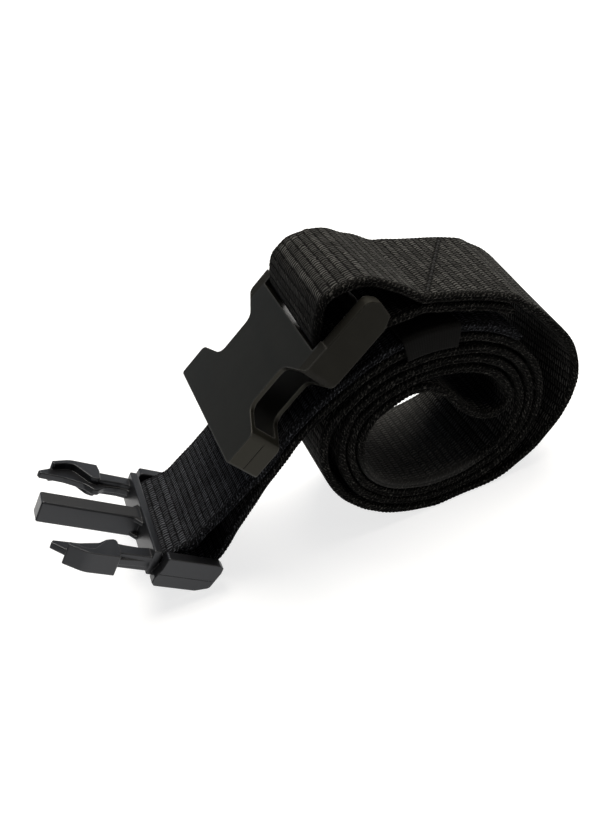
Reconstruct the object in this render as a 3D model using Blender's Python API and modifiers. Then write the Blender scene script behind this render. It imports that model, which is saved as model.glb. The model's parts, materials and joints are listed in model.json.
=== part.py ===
"""Tactical belt, rolled up: 50 mm ribbed webbing with a side-release buckle.

The strap is folded at its middle and rolled from the fold, so both ends lie outside. The roll
rests on its curved side. +X runs from the plug's side to the roll's right, +Y along the roll's
axis (away from the end that shows the layers), +Z up. The origin is on the flat underside.
Tables are in millimetres, in the plane across the strap (x, z), measured from the centre of the
socket's bar. Everything else is in metres.
"""
import math

import bmesh
import bpy
from mathutils import Matrix, Vector

MM = 0.001

# ---- driving sizes (mm) ---------------------------------------------------------------------
STRAP_W = 50.0          # width of the webbing
STRAP_T = 3.2           # thickness of the webbing
STRAP_EDGE = 0.7        # rounding of its edges
PLY_GAP = 0.55          # air between two plies that lie together
SEAM_GAP = 0.8          # air between the two sewn plies

BUCKLE_W = 62.0         # width over the side blocks and over the rails
BUCKLE_T = 13.2         # thickness of both halves
PLATE_T = 1.85          # top and bottom plate of the socket
PLATE_L = 47.6          # mouth to the plates' rear edge
BAR_X = 65.7            # mouth to the bar
BAR_R = 3.2
SLOT_HALF = 26.0        # half the clear width between rails and between side blocks

SOCKET_TILT = 33.2      # degrees, mouth end down
PLUG_TILT = 39.1        # degrees, prongs up
PLUG_YAW = 3.2          # degrees, prongs away along the roll's axis
PLUG_ROLL = 3.7         # degrees, far side down
PLUG_AT = (-94.2, 10.4, -76.15)    # middle of the plug's front face, from the bar's centre
LEAN = 1.2              # degrees by which the tables' plane is turned, plug side down
FLOOR = -96.2           # underside of the roll below the bar's centre, after that turn
ORIGIN = (-24.23, 5.8, FLOOR)      # middle of the whole, from the bar's centre, after that turn

# ---- the roll's core: inner face of ply 1, clockwise from the top -----------------------------
# pitch is ply to ply outwards, pitch_in inwards, lift raises ply 3 and the tail for the keeper
CORE = [
    # x,     z,     pitch, pitch_in, lift
    (0.0, -35.5, 4.45, 3.90, 0.0),
    (10.0, -33.2, 4.20, 3.60, 0.5),
    (20.0, -32.9, 3.70, 3.70, 1.7),
    (30.0, -35.0, 3.70, 4.10, 1.7),
    (39.0, -38.9, 4.05, 4.30, 0.7),
    (46.0, -44.2, 4.20, 4.30, 0.0),
    (50.3, -50.5, 4.20, 4.30, 0.0),
    (51.8, -57.5, 4.20, 4.30, 0.0),
    (51.0, -64.5, 4.10, 4.00, 0.0),
    (48.0, -71.0, 3.95, 4.00, 0.0),
    (43.0, -76.0, 3.80, 4.00, 0.0),
    (36.0, -79.6, 3.65, 4.00, 0.0),
    (28.0, -81.6, 3.60, 4.00, 0.0),
    (19.0, -82.1, 3.60, 4.00, 0.0),
    (10.0, -80.8, 3.60, 4.00, 0.0),
    (2.0, -77.8, 3.60, 4.00, 0.0),
    (-4.0, -73.5, 3.60, 4.00, 0.0),
    (-7.9, -68.0, 3.65, 4.00, 0.0),
    (-9.5, -61.0, 3.70, 4.00, 0.0),
    (-9.0, -54.5, 3.80, 4.00, 0.0),
    (-6.6, -49.2, 3.95, 4.00, 0.0),
    (-3.0, -45.6, 4.10, 4.00, 0.0),
]

# ---- the outer wrap: its outside face, clockwise from the sewn part's right end ---------------
# far is how much further out the far edge runs than the near edge
WRAP = [
    # x,     z,     far
    (61.2, -21.7, 2.6), (65.4, -26.1, 3.0), (68.8, -30.9, 3.2), (72.0, -35.8, 2.8),
    (75.1, -40.8, 1.8), (77.5, -45.8, 0.2), (79.2, -51.5, -2.6), (79.7, -58.0, -5.6),
    (78.5, -65.1, -6.4), (75.5, -72.0, -4.8), (70.6, -78.7, -2.6), (65.3, -83.8, -0.9),
    (59.2, -88.4, 0.0), (52.0, -92.4, 0.0), (45.0, -95.1, 0.0), (39.0, -96.5, 0.0),
    (32.0, -97.1, 0.0), (24.0, -97.1, 0.0), (16.0, -96.9, 0.0), (8.5, -95.7, 0.0),
    (0.0, -93.0, 0.0), (-8.2, -88.8, 0.0), (-15.3, -83.1, 0.0), (-21.0, -76.3, 0.0),
    (-24.7, -69.1, 0.0), (-26.6, -61.5, 0.0), (-26.8, -54.0, 0.0), (-25.3, -46.5, 0.0),
    (-22.2, -40.2, 0.0), (-17.5, -35.4, 0.0), (-12.0, -32.3, 0.0),
]

# ---- the sewn overlap: the seam between its two plies, left to right --------------------------
SEAM = [
    # x,     z,     far
    (22.8, -5.6, 0.0), (28.0, -7.4, -0.2), (34.0, -9.6, -0.4), (41.0, -12.4, -0.2),
    (47.0, -15.2, 0.4), (52.5, -18.5, 1.2), (56.6, -21.1, 1.9),
]

# ---- the loop round the socket's bar: middle of the ply, from the lower ply over the top ------
# far_x and far_z are how far the far edge lies from where the near edge is
LOOP = [
    # x,     z,   far_x, far_z
    (15.0, -7.3, 0.0, 0.2), (8.0, -7.3, 0.0, 0.0), (2.0, -8.6, 0.0, 0.0), (-4.0, -10.1, 0.0, 0.0),
    (-9.2, -10.2, 0.4, 0.0), (-13.4, -7.9, 0.8, 0.0), (-16.3, -4.1, 1.1, -0.1),
    (-15.5, -0.3, 0.9, 0.0), (-13.9, 3.2, 0.2, 0.1), (-12.4, 7.2, 0.6, -0.6),
    (-10.4, 10.4, 1.5, -2.0), (-7.0, 11.8, 1.2, -1.9), (-1.2, 12.4, 0.6, -2.4),
    (3.4, 11.8, 0.0, -2.4), (7.8, 10.0, 0.0, -2.2), (12.8, 6.3, -0.4, -2.1),
    (17.3, 2.6, -0.3, -1.2),
]

# ---- the fold at the strap's middle: middle of the ply, clockwise from ply 0 ------------------
FOLD = [
    # x,     z
    (49.7, -58.6), (48.3, -61.6), (45.6, -63.6), (42.0, -64.1), (38.0, -62.8), (34.2, -60.0),
    (31.0, -56.0), (28.4, -51.4), (25.8, -47.0), (22.8, -43.2), (19.0, -40.4), (14.5, -38.9),
]

# ---- ply 3 from the roll's shoulder down to the plug: middle of the ply -----------------------
# drift is how far along, from 0 at the roll to 1 at the plug, the sideways shift has come
RUN = [
    # x,     z,    drift
    (-7.6, -26.6, 0.0), (-13.0, -28.7, 0.0), (-19.3, -31.4, 0.0), (-25.9, -35.3, 0.04),
    (-31.8, -39.9, 0.13), (-37.9, -46.3, 0.27), (-44.3, -53.5, 0.46), (-51.3, -61.8, 0.66),
    (-59.8, -71.6, 0.86), (-67.3, -80.4, 0.98),
]

# ---- through the plug: middle of the ply, in the plug's own axes (x to the prongs, z up) ------
BARS = [
    # x,     z
    (-21.8, 6.3), (-19.6, 2.7), (-15.2, -0.8), (-10.2, -3.3), (-5.5, -4.3), (-2.5, -3.0),
    (-1.25, 0.0), (-2.5, 3.1), (-5.2, 5.3), (-8.0, 8.1),
]

# ---- the tail from the plug until it lies on ply 3: middle of the ply -------------------------
TAIL = [
    # x,     z,    drift
    (-80.2, -75.0, 1.0), (-73.6, -71.6, 1.0), (-66.4, -67.4, 0.97), (-59.9, -62.6, 0.87),
    (-54.1, -57.6, 0.74),
]

TAIL_PAST = 0.10        # how far the tail's end lies from the core's sixth row to its seventh

STEP_ERROR = 0.05       # mm, how far a chord may leave the curve
STEP_RANGE = (1.2, 4.6)
BREAK_GAP = 0.6         # mm between the strap's solids, which are one length of webbing


# ---- curves -----------------------------------------------------------------------------------
def smooth(points, per=12):
    """A smooth curve through the points, as a dense list."""
    pts = [Vector(p) for p in points]
    pts = [pts[0] * 2 - pts[1]] + pts + [pts[-1] * 2 - pts[-2]]
    out = []
    for i in range(1, len(pts) - 2):
        p0, p1, p2, p3 = pts[i - 1], pts[i], pts[i + 1], pts[i + 2]
        t0 = 0.0
        t1 = t0 + max((p1 - p0).length, 1e-6) ** 0.5
        t2 = t1 + max((p2 - p1).length, 1e-6) ** 0.5
        t3 = t2 + max((p3 - p2).length, 1e-6) ** 0.5
        for k in range(per):
            t = t1 + (t2 - t1) * k / per
            a1 = p0 * ((t1 - t) / (t1 - t0)) + p1 * ((t - t0) / (t1 - t0))
            a2 = p1 * ((t2 - t) / (t2 - t1)) + p2 * ((t - t1) / (t2 - t1))
            a3 = p2 * ((t3 - t) / (t3 - t2)) + p3 * ((t - t2) / (t3 - t2))
            b1 = a1 * ((t2 - t) / (t2 - t0)) + a2 * ((t - t0) / (t2 - t0))
            b2 = a2 * ((t3 - t) / (t3 - t1)) + a3 * ((t - t1) / (t3 - t1))
            out.append(b1 * ((t2 - t) / (t2 - t1)) + b2 * ((t - t1) / (t2 - t1)))
    out.append(pts[-2])
    return out


def left_normal(points, i):
    """Unit normal on the left of the direction of travel, in the x, z plane."""
    a = points[max(i - 1, 0)]
    b = points[min(i + 1, len(points) - 1)]
    d = Vector((b[0] - a[0], b[1] - a[1])).normalized()
    return Vector((-d.y, d.x))


def offset(points, distance):
    """The curve moved to its left by a distance."""
    return [Vector(p[:2]) + left_normal(points, i) * distance for i, p in enumerate(points)]


def lengths(points):
    run = [0.0]
    for a, b in zip(points, points[1:]):
        run.append(run[-1] + (Vector(b[:3]) - Vector(a[:3])).length)
    return run


def sample(points, run, s):
    lo, hi = 0, len(run) - 1
    while hi - lo > 1:
        mid = (lo + hi) // 2
        if run[mid] <= s:
            lo = mid
        else:
            hi = mid
    f = (s - run[lo]) / max(run[hi] - run[lo], 1e-9)
    return Vector(points[lo]).lerp(Vector(points[hi]), min(max(f, 0.0), 1.0))


def stations(points):
    """Points along the curve, closer together where it bends."""
    run = lengths(points)
    total = run[-1]
    out = [0.0]
    while True:
        s = out[-1]
        h = 1.5
        a, b, c = (sample(points, run, min(max(v, 0.0), total)) for v in (s - h + 1.0, s + 1.0, s + h + 1.0))
        d1, d2 = Vector((b - a)[:3]), Vector((c - b)[:3])
        turn = d1.angle(d2, 0.0) if d1.length > 1e-6 and d2.length > 1e-6 else 0.0
        radius = h / max(turn, 1e-4)
        step = min(max(math.sqrt(8 * radius * STEP_ERROR), STEP_RANGE[0]), STEP_RANGE[1])
        if s + step * 1.5 > total:
            break
        out.append(s + step)
    out.append(total)
    return [sample(points, run, s) for s in out], out


# ---- the strap's route --------------------------------------------------------------------------
def core_ply(ply, rows):
    """Middle of a ply of the core at the given rows, in the order given."""
    out = []
    n = len(CORE)
    for r in rows:
        x, z, pitch, pitch_in, lift = CORE[r]
        ahead = CORE[r + 1][:2] if r + 1 < n else closing_row()
        if r > 0:
            back = CORE[r - 1][:2]
            d = Vector((ahead[0] - back[0], ahead[1] - back[1])).normalized()
        else:
            d = Vector((0.985, 0.175))
        out_dir = Vector((-d.y, d.x))
        k = ply - 0.5
        away = k * pitch + (lift if ply >= 3 else 0.0) if ply >= 1 else k * pitch_in
        if ply >= 4:
            away = 2.5 * pitch + lift + (ply - 3) * (STRAP_T + PLY_GAP + 0.12)
        out.append(Vector((x, z)) + out_dir * away)
    return out


def closing_row():
    """Where the core's inner face is one turn on: two plies further in."""
    x, z, pitch, pitch_in, lift = CORE[0]
    return (x + 0.175 * 2 * pitch_in, z - 0.985 * 2 * pitch_in)


def level(p):
    """A point from the tables' plane turned so that the floor is level."""
    a = math.radians(LEAN)
    return Vector((p[0] * math.cos(a) - p[2] * math.sin(a), p[1],
                   p[2] * math.cos(a) + p[0] * math.sin(a)))


def plug_axes():
    """The plug's own axes: x to the prongs, y near, z up."""
    t, w, r = (math.radians(v) for v in (PLUG_TILT, PLUG_YAW, PLUG_ROLL))
    ax = Vector((-math.cos(t) * math.cos(w), math.cos(t) * math.sin(w), math.sin(t)))
    flat = Vector((-ax.y, ax.x, 0.0)).normalized()
    ay = flat * math.cos(r) + ax.cross(flat) * math.sin(r)
    return ax, ay, ax.cross(ay)


def row(x, z, y=0.0, cross=(0.0, 1.0, 0.0)):
    """A station: its middle and the direction across the strap, near to far."""
    return Vector((x, y, z, *cross))


def splayed(x, z, far_x, far_z):
    """A station whose far edge is set off from where the near edge lies."""
    return row(x + far_x / 2, z + far_z / 2, 0.0, (far_x / STRAP_W, 1.0, far_z / STRAP_W))


def drifted(x, z, drift):
    """A station on the way to the plug."""
    target = -plug_axes()[1]
    cross = Vector((0.0, 1.0, 0.0)).lerp(target, drift).normalized()
    return row(x, z, PLUG_AT[1] * drift, cross)


def offset_rows(table, distance, every, reverse=False):
    """Splayed stations on a curve moved to its left; the third column splays it to its left."""
    dense = smooth(table, 8)
    out = []
    for i in range(0, len(dense), every):
        n = left_normal(dense, i)
        p = Vector(dense[i][:2]) + n * distance
        far = n * dense[i][2]
        out.append(splayed(p.x, p.y, far.x, far.y))
    return out[::-1] if reverse else out


def strap_route():
    """Stations of the whole strap, in mm from the bar's centre, from the sewn cut end to the
    tail's end, and the first station of each stretch."""
    last = len(CORE) - 1
    half = (STRAP_T + SEAM_GAP) / 2
    out = []
    starts = [0]
    out += offset_rows(SEAM, -half, 8, reverse=True)        # sewn ply, to the left
    out += [splayed(*r) for r in LOOP]                      # round the bar
    out += offset_rows(SEAM, half, 8)                       # over the sewn ply, to the right
    starts.append(len(out))
    out += offset_rows(WRAP, -STRAP_T / 2, 8)               # outer wrap
    starts.append(len(out))
    for ply, rows in ((2, range(0, last + 1)), (0, range(0, 8))):
        out += [row(p.x, p.y) for p in core_ply(ply, rows)]
    out += [row(x, z) for x, z in FOLD]
    for ply, rows in ((-1, (1, 0)), (1, range(last, -1, -1))):
        out += [row(p.x, p.y) for p in core_ply(ply, rows)]
    starts.append(len(out))
    out += [row(p.x, p.y) for p in core_ply(3, range(last, -1, -1))]
    out += [drifted(*r) for r in RUN]
    ax, ay, az = plug_axes()
    for x, z in BARS:
        p = Vector(PLUG_AT) + ax * x + az * z
        out.append(row(p.x, p.z, p.y, -ay))
    out += [drifted(*r) for r in TAIL]
    held = RUN[:7]                                          # the tail lies on ply 3 here
    for i in range(len(held) - 1, -1, -1):
        p = Vector(held[i][:2]) - left_normal(held, i) * (STRAP_T + PLY_GAP)
        out.append(drifted(p.x, p.y, held[i][2]))
    out += [row(p.x, p.y) for p in core_ply(4, range(0, 5))]
    a, b = core_ply(4, [5, 6])
    p = a.lerp(b, TAIL_PAST)
    out.append(row(p.x, p.y))
    return out, starts


def world(p):
    q = level(p)
    return Vector(((q.x - ORIGIN[0]) * MM, (q.y - ORIGIN[1]) * MM, (q.z - ORIGIN[2]) * MM))


# ---- building helpers ---------------------------------------------------------------------------
def clear():
    for obj in list(bpy.data.objects):
        bpy.data.objects.remove(obj, do_unlink=True)
    for mesh in list(bpy.data.meshes):
        bpy.data.meshes.remove(mesh)


def new_collection(name):
    coll = bpy.data.collections.new(name)
    bpy.context.scene.collection.children.link(coll)
    return coll


def material(name, colour, roughness, metallic=0.0):
    mat = bpy.data.materials.new(name)
    mat.use_nodes = True
    shader = mat.node_tree.nodes["Principled BSDF"]
    shader.inputs["Base Color"].default_value = (*colour, 1.0)
    shader.inputs["Roughness"].default_value = roughness
    shader.inputs["Metallic"].default_value = metallic
    mat.diffuse_color = (*colour, 1.0)
    return mat


def mesh_object(name, bm, coll, mat=None):
    mesh = bpy.data.meshes.new(name)
    bm.to_mesh(mesh)
    bm.free()
    obj = bpy.data.objects.new(name, mesh)
    coll.objects.link(obj)
    if mat:
        mesh.materials.append(mat)
    return obj


def rounded(rows, per=4):
    """A closed outline from rows of x, y, corner radius."""
    out = []
    n = len(rows)
    for i, (x, y, r) in enumerate(rows):
        p = Vector((x, y))
        a = Vector(rows[i - 1][:2]) - p
        b = Vector(rows[(i + 1) % n][:2]) - p
        if r <= 0:
            out.append(p)
            continue
        half = a.angle(b) / 2
        reach = min(r / math.tan(half), a.length * 0.49, b.length * 0.49)
        r = reach * math.tan(half)
        centre = p + (a.normalized() + b.normalized()).normalized() * (r / math.sin(half))
        s = p + a.normalized() * reach - centre
        e = p + b.normalized() * reach - centre
        for k in range(per + 1):
            v = s.slerp(e, k / per) if s.length > 1e-9 else s
            out.append(centre + v.normalized() * r)
    return out


def slab(name, outline, low, high, coll, edge=0.0, segments=2, keep=None, mat=None):
    """A flat outline in x, y given thickness from low to high; its rims are rounded by edge,
    except where keep says that an edge stays sharp."""
    bm = bmesh.new()
    base = [bm.verts.new((p.x * MM, p.y * MM, low * MM)) for p in outline]
    face = bm.faces.new(base)
    bm.normal_update()
    if face.normal.z > 0:
        face.normal_flip()
    up = bmesh.ops.extrude_face_region(bm, geom=[face])
    bmesh.ops.translate(bm, vec=(0, 0, (high - low) * MM),
                        verts=[g for g in up["geom"] if isinstance(g, bmesh.types.BMVert)])
    bmesh.ops.recalc_face_normals(bm, faces=bm.faces)
    if edge > 0:
        rims = [e for e in bm.edges if abs(e.verts[0].co.z - e.verts[1].co.z) < 1e-7
                and not (keep and keep(e.verts[0].co / MM, e.verts[1].co / MM))]
        bmesh.ops.bevel(bm, geom=rims, offset=edge * MM, segments=segments, profile=0.5,
                        affect="EDGES", clamp_overlap=True)
    return mesh_object(name, bm, coll, mat)


def block(name, low, high, coll, edge=0.0, segments=2, mat=None):
    """A box between two corners (mm) with rounded edges."""
    bm = bmesh.new()
    bmesh.ops.create_cube(bm, size=1.0)
    size = [(h - l) * MM for l, h in zip(low, high)]
    mid = [(h + l) / 2 * MM for l, h in zip(low, high)]
    bmesh.ops.scale(bm, vec=size, verts=bm.verts)
    bmesh.ops.translate(bm, vec=mid, verts=bm.verts)
    if edge > 0:
        bmesh.ops.bevel(bm, geom=list(bm.edges), offset=edge * MM, segments=segments,
                        profile=0.5, affect="EDGES", clamp_overlap=True)
    return mesh_object(name, bm, coll, mat)


def side_slab(name, outline, side, inner, outer, coll, edge=0.0, segments=2, mat=None):
    """An outline in x, z given thickness along y from inner to outer, on one side."""
    low, high = (-outer, -inner) if side > 0 else (inner, outer)
    obj = slab(name, outline, low, high, coll, edge=edge, segments=segments, mat=mat)
    obj.data.transform(Matrix.Rotation(math.radians(90), 4, "X"))
    return obj


def rod(name, x, z, radius, half, coll, sides=20):
    """A round bar along y."""
    bm = bmesh.new()
    bmesh.ops.create_cone(bm, cap_ends=True, cap_tris=False, segments=sides,
                          radius1=radius * MM, radius2=radius * MM, depth=2 * half * MM)
    bmesh.ops.rotate(bm, cent=(0, 0, 0), matrix=Matrix.Rotation(math.radians(90), 3, "X"), verts=bm.verts)
    bmesh.ops.translate(bm, vec=(x * MM, 0, z * MM), verts=bm.verts)
    return mesh_object(name, bm, coll)


def boolean(obj, other, operation):
    mod = obj.modifiers.new(operation.lower(), "BOOLEAN")
    mod.operation = operation
    mod.solver = "EXACT"
    mod.object = other
    other.hide_render = True
    other.display_type = "WIRE"


def bake(obj, mat):
    """Work the modifiers out into the object's mesh and tidy it."""
    graph = bpy.context.evaluated_depsgraph_get()
    mesh = bpy.data.meshes.new_from_object(obj.evaluated_get(graph))
    obj.modifiers.clear()
    old = obj.data
    obj.data = mesh
    bpy.data.meshes.remove(old)
    bm = bmesh.new()
    bm.from_mesh(mesh)
    bmesh.ops.remove_doubles(bm, verts=bm.verts, dist=0.00002)
    bmesh.ops.dissolve_degenerate(bm, edges=bm.edges, dist=0.00001)
    bm.to_mesh(mesh)
    bm.free()
    mesh.materials.clear()
    mesh.materials.append(mat)
    mesh.shade_smooth()
    mesh.set_sharp_from_angle(angle=math.radians(35))


# ---- the pieces ---------------------------------------------------------------------------------
STRETCHES = ("strap_sewn_end", "strap_outer_wrap", "strap_middle", "strap_tail")


def build_strap(coll, mat):
    """One length of webbing, as a solid for each of its four stretches."""
    rows, starts = strap_route()
    per = 10
    dense = smooth(rows, per)
    ends = starts[1:] + [len(rows) - 1]
    for name, start, end in zip(STRETCHES, starts, ends):
        part = dense[start * per:end * per + 1]
        run = lengths(part)
        cut_start = BREAK_GAP / 2 if start > 0 else 0.0
        cut_end = BREAK_GAP / 2 if end < len(rows) - 1 else 0.0
        part = ([sample(part, run, cut_start)]
                + [p for p, s in zip(part, run) if cut_start + 0.05 < s < run[-1] - cut_end - 0.05]
                + [sample(part, run, run[-1] - cut_end)])
        build_stretch(name, part, coll, mat)


def build_stretch(name, dense, coll, mat):
    points, run = stations(dense)
    bm = bmesh.new()
    rows = []
    for p in points:
        middle = level(p[:3])
        middle.z = max(middle.z, FLOOR + STRAP_T / 2)
        across = level(p[3:]) * (STRAP_W / 2)
        rows.append([bm.verts.new((middle + across * side - Vector(ORIGIN)) * MM) for side in (-1, 1)])
    for a, b in zip(rows, rows[1:]):
        bm.faces.new((a[0], a[1], b[1], b[0]))
    obj = mesh_object(name, bm, coll, mat)
    solid = obj.modifiers.new("thickness", "SOLIDIFY")
    solid.thickness = STRAP_T * MM
    solid.offset = 0.0
    solid.use_even_offset = True
    bevel = obj.modifiers.new("edges", "BEVEL")
    bevel.width = STRAP_EDGE * MM
    bevel.segments = 1
    bevel.limit_method = "ANGLE"
    bevel.angle_limit = math.radians(60)
    return obj


SOCKET_PLAN = [
    # x,    y,    corner radius
    (0.0, 31.0, 1.2),
    (13.4, 31.0, 2.6),
    (18.0, 18.5, 4.5),
    (35.8, 18.5, 4.5),
    (41.6, 31.0, 3.0),
    (52.0, 31.0, 0.6),
    (52.0, 26.0, 0.6),
    (47.6, 26.0, 0.6),
]
RAIL_SIDE = [
    # x,    z,    corner radius
    (42.5, 6.3, 0.5),
    (42.5, -7.0, 2.0),
    (68.0, -7.0, 3.0),
    (72.9, -5.0, 2.5),
    (74.5, 1.6, 3.0),
    (72.5, 5.9, 3.2),
]


def build_socket(coll, cutters, mat):
    plan = SOCKET_PLAN + [(x, -y, r) for x, y, r in SOCKET_PLAN[::-1]]
    outline = rounded(plan)

    def sharp(a, b):
        front = abs(a.x) < 1.3 and abs(b.x) < 1.3
        rear = min(a.x, b.x) > PLATE_L - 0.7
        return front or rear

    obj = slab("buckle_socket", outline, -BUCKLE_T / 2, BUCKLE_T / 2, coll, edge=1.5,
               segments=3, keep=sharp, mat=mat)
    hollow_z = BUCKLE_T / 2 - PLATE_T
    hollow = block("socket_hollow", (-5.0, -27.0, -hollow_z), (43.4, 27.0, hollow_z), cutters,
                   edge=0.6, segments=1)
    boolean(obj, hollow, "DIFFERENCE")
    for side in (1, -1):
        rail = side_slab("socket_rail_%d" % side, rounded(RAIL_SIDE), side, SLOT_HALF, BUCKLE_W / 2 - 0.02,
                         cutters, edge=1.1)
        boolean(obj, rail, "UNION")
    bar = rod("socket_bar", BAR_X, 0.0, BAR_R, 27.5, cutters)
    boolean(obj, bar, "UNION")
    bake(obj, mat)
    a = math.radians(SOCKET_TILT + LEAN)
    obj.matrix_world = (Matrix.Translation(world((0, 0, 0)))
                        @ Matrix.Rotation(-a, 4, "Y")
                        @ Matrix.Translation((-BAR_X * MM, 0, 0)))
    return obj


ARM_WEB = [
    # x,    y,    corner radius
    (1.8, 26.4, 0.0),
    (24.0, 29.0, 4.0),
    (34.8, 27.4, 3.0),
    (41.0, 23.6, 0.5),
    (40.2, 21.9, 0.5),
    (30.5, 21.4, 6.0),
    (22.6, 19.4, 3.0),
    (18.2, 15.6, 2.2),
    (14.0, 19.9, 4.0),
    (8.5, 20.6, 3.0),
    (4.6, 20.2, 2.0),
    (1.8, 17.0, 0.0),
]
ARM_PAD = [
    # x,    y,    corner radius
    (16.4, 26.2, 0.3),
    (17.0, 30.8, 0.6),
    (28.5, 31.0, 9.0),
    (36.2, 27.5, 0.8),
    (35.3, 25.6, 0.6),
    (30.0, 27.8, 4.0),
    (26.6, 28.0, 3.0),
    (20.6, 20.8, 3.0),
    (17.0, 19.6, 1.5),
]
ARM_NECK = [
    # x,    y,    corner radius
    (2.3, 26.6, 0.0),
    (20.0, 27.0, 0.5),
    (20.0, 20.5, 0.5),
    (14.0, 21.2, 3.0),
    (8.0, 21.4, 3.0),
    (2.3, 20.4, 0.0),
]
BLOCK_SIDE = [
    # x,    z,    corner radius
    (-0.6, 6.6, 0.8),
    (-21.6, 6.6, 0.6),
    (-23.1, 5.6, 0.5),
    (-23.1, 3.4, 0.8),
    (-20.9, -4.2, 2.2),
    (-15.5, -6.2, 3.0),
    (0.9, -6.4, 0.8),
    (2.1, -5.2, 0.6),
    (1.9, -2.4, 1.5),
    (0.2, 1.6, 3.0),
]


def build_plug(coll, cutters, mat):
    t = BUCKLE_T / 2
    outline = rounded(BLOCK_SIDE)
    obj = side_slab("buckle_plug", outline, 1, SLOT_HALF + 0.3, BUCKLE_W / 2, coll, edge=0.8)
    other = side_slab("plug_far_side", outline, -1, SLOT_HALF + 0.3, BUCKLE_W / 2, cutters, edge=0.8)
    boolean(obj, other, "UNION")
    wall = block("plug_front_wall", (0.7, -26.9, -4.6), (4.0, 26.9, t - 0.3), cutters, edge=0.6, segments=2)
    boolean(obj, wall, "UNION")
    boolean(obj, rod("plug_front_bar", -5.5, 0.0, 2.25, 27.5, cutters, 16), "UNION")
    rear = block("plug_rear_bar", (-22.4, -27.5, -4.5), (-18.9, 27.5, -1.3), cutters, edge=1.3, segments=3)
    boolean(obj, rear, "UNION")
    prong = block("plug_centre_prong", (3.0, -3.8, -4.6), (43.2, 3.8, 4.6), cutters, edge=0.6, segments=2)
    boolean(obj, prong, "UNION")
    parts = (("web", ARM_WEB, 1.35, 0.4), ("neck", ARM_NECK, 3.3, 0.6), ("pad", ARM_PAD, 4.3, 0.6))
    for side in (1, -1):
        for label, rows, half, edge in parts:
            plan = rounded([(x, side * y, r) for x, y, r in rows])
            piece = slab("plug_arm_%s_%d" % (label, side), plan, -half, half, cutters, edge=edge, segments=2)
            boolean(obj, piece, "UNION")
    bake(obj, mat)
    turn = Matrix([level(v) for v in plug_axes()]).transposed().to_4x4()
    obj.matrix_world = Matrix.Translation(world(PLUG_AT)) @ turn
    return obj


KEEPER_ROWS = (1.35, 2.95)     # from and to, in rows of the core table
KEEPER_T = 1.0


def build_keeper(coll, mat):
    """A band round ply 3 and the tail."""
    low = smooth([tuple(p) for p in core_ply(3, range(0, 6))], 10)
    high = smooth([tuple(p) for p in core_ply(4, range(0, 6))], 10)
    air = 0.45
    reach = STRAP_T / 2 + air + KEEPER_T / 2
    wide = STRAP_W / 2 + air + KEEPER_T / 2
    corner = 1.3
    bm = bmesh.new()
    rings = []
    i0, i1 = int(KEEPER_ROWS[0] * 10), int(KEEPER_ROWS[1] * 10)
    for i in range(i0, i1 + 1, 4):
        n = left_normal(low, i)
        a = Vector(low[i]) - n * reach
        b = Vector(high[i]) + n * reach
        ring = []
        for y, base, s in ((-wide, a, 1), (wide, a, 1), (wide, b, -1), (-wide, b, -1)):
            sy = 1 if y < 0 else -1
            first = (y, base + n * (s * corner))
            second = (y + sy * corner, base)
            pair = [first, (y + sy * corner * 0.29, base + n * (s * corner * 0.29)), second]
            if (y < 0) == (s < 0):
                pair = pair[::-1]
            ring += pair
        rings.append([bm.verts.new(world((p.x, y, p.y))) for y, p in ring])
    n = len(rings[0])
    for a, b in zip(rings, rings[1:]):
        for k in range(n):
            bm.faces.new((a[k], b[k], b[(k + 1) % n], a[(k + 1) % n]))
    bmesh.ops.recalc_face_normals(bm, faces=bm.faces)
    obj = mesh_object("tail_keeper", bm, coll, mat)
    solid = obj.modifiers.new("thickness", "SOLIDIFY")
    solid.thickness = KEEPER_T * MM
    solid.offset = 0.0
    solid.use_even_offset = True
    return obj


def main():
    clear()
    belt = new_collection("tactical_belt")
    cutters = new_collection("shapes_joined_or_cut")
    webbing = material("webbing", (0.020, 0.019, 0.017), 0.92)
    plastic = material("buckle_plastic", (0.014, 0.014, 0.014), 0.36)
    plastic_2 = material("plug_plastic", (0.014, 0.014, 0.015), 0.36)
    band = material("keeper_band", (0.022, 0.021, 0.020), 0.85)
    build_strap(belt, webbing)
    build_socket(belt, cutters, plastic)
    build_plug(belt, cutters, plastic_2)
    build_keeper(belt, band)
    for obj in list(cutters.objects):
        obj.hide_render = True
        obj.display_type = "WIRE"


main()
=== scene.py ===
"""Looks of the rolled tactical belt: ribbed webbing, both halves of the buckle and the keeper.

The shapes are worked out from the same short tables as the solids: millimetres in the plane
across the strap (x, z), from the centre of the socket's bar. The pieces are in the row frame.
"""

import json
import math

import bmesh
import bpy
import numpy as np
from mathutils import Matrix, Vector, noise

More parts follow.
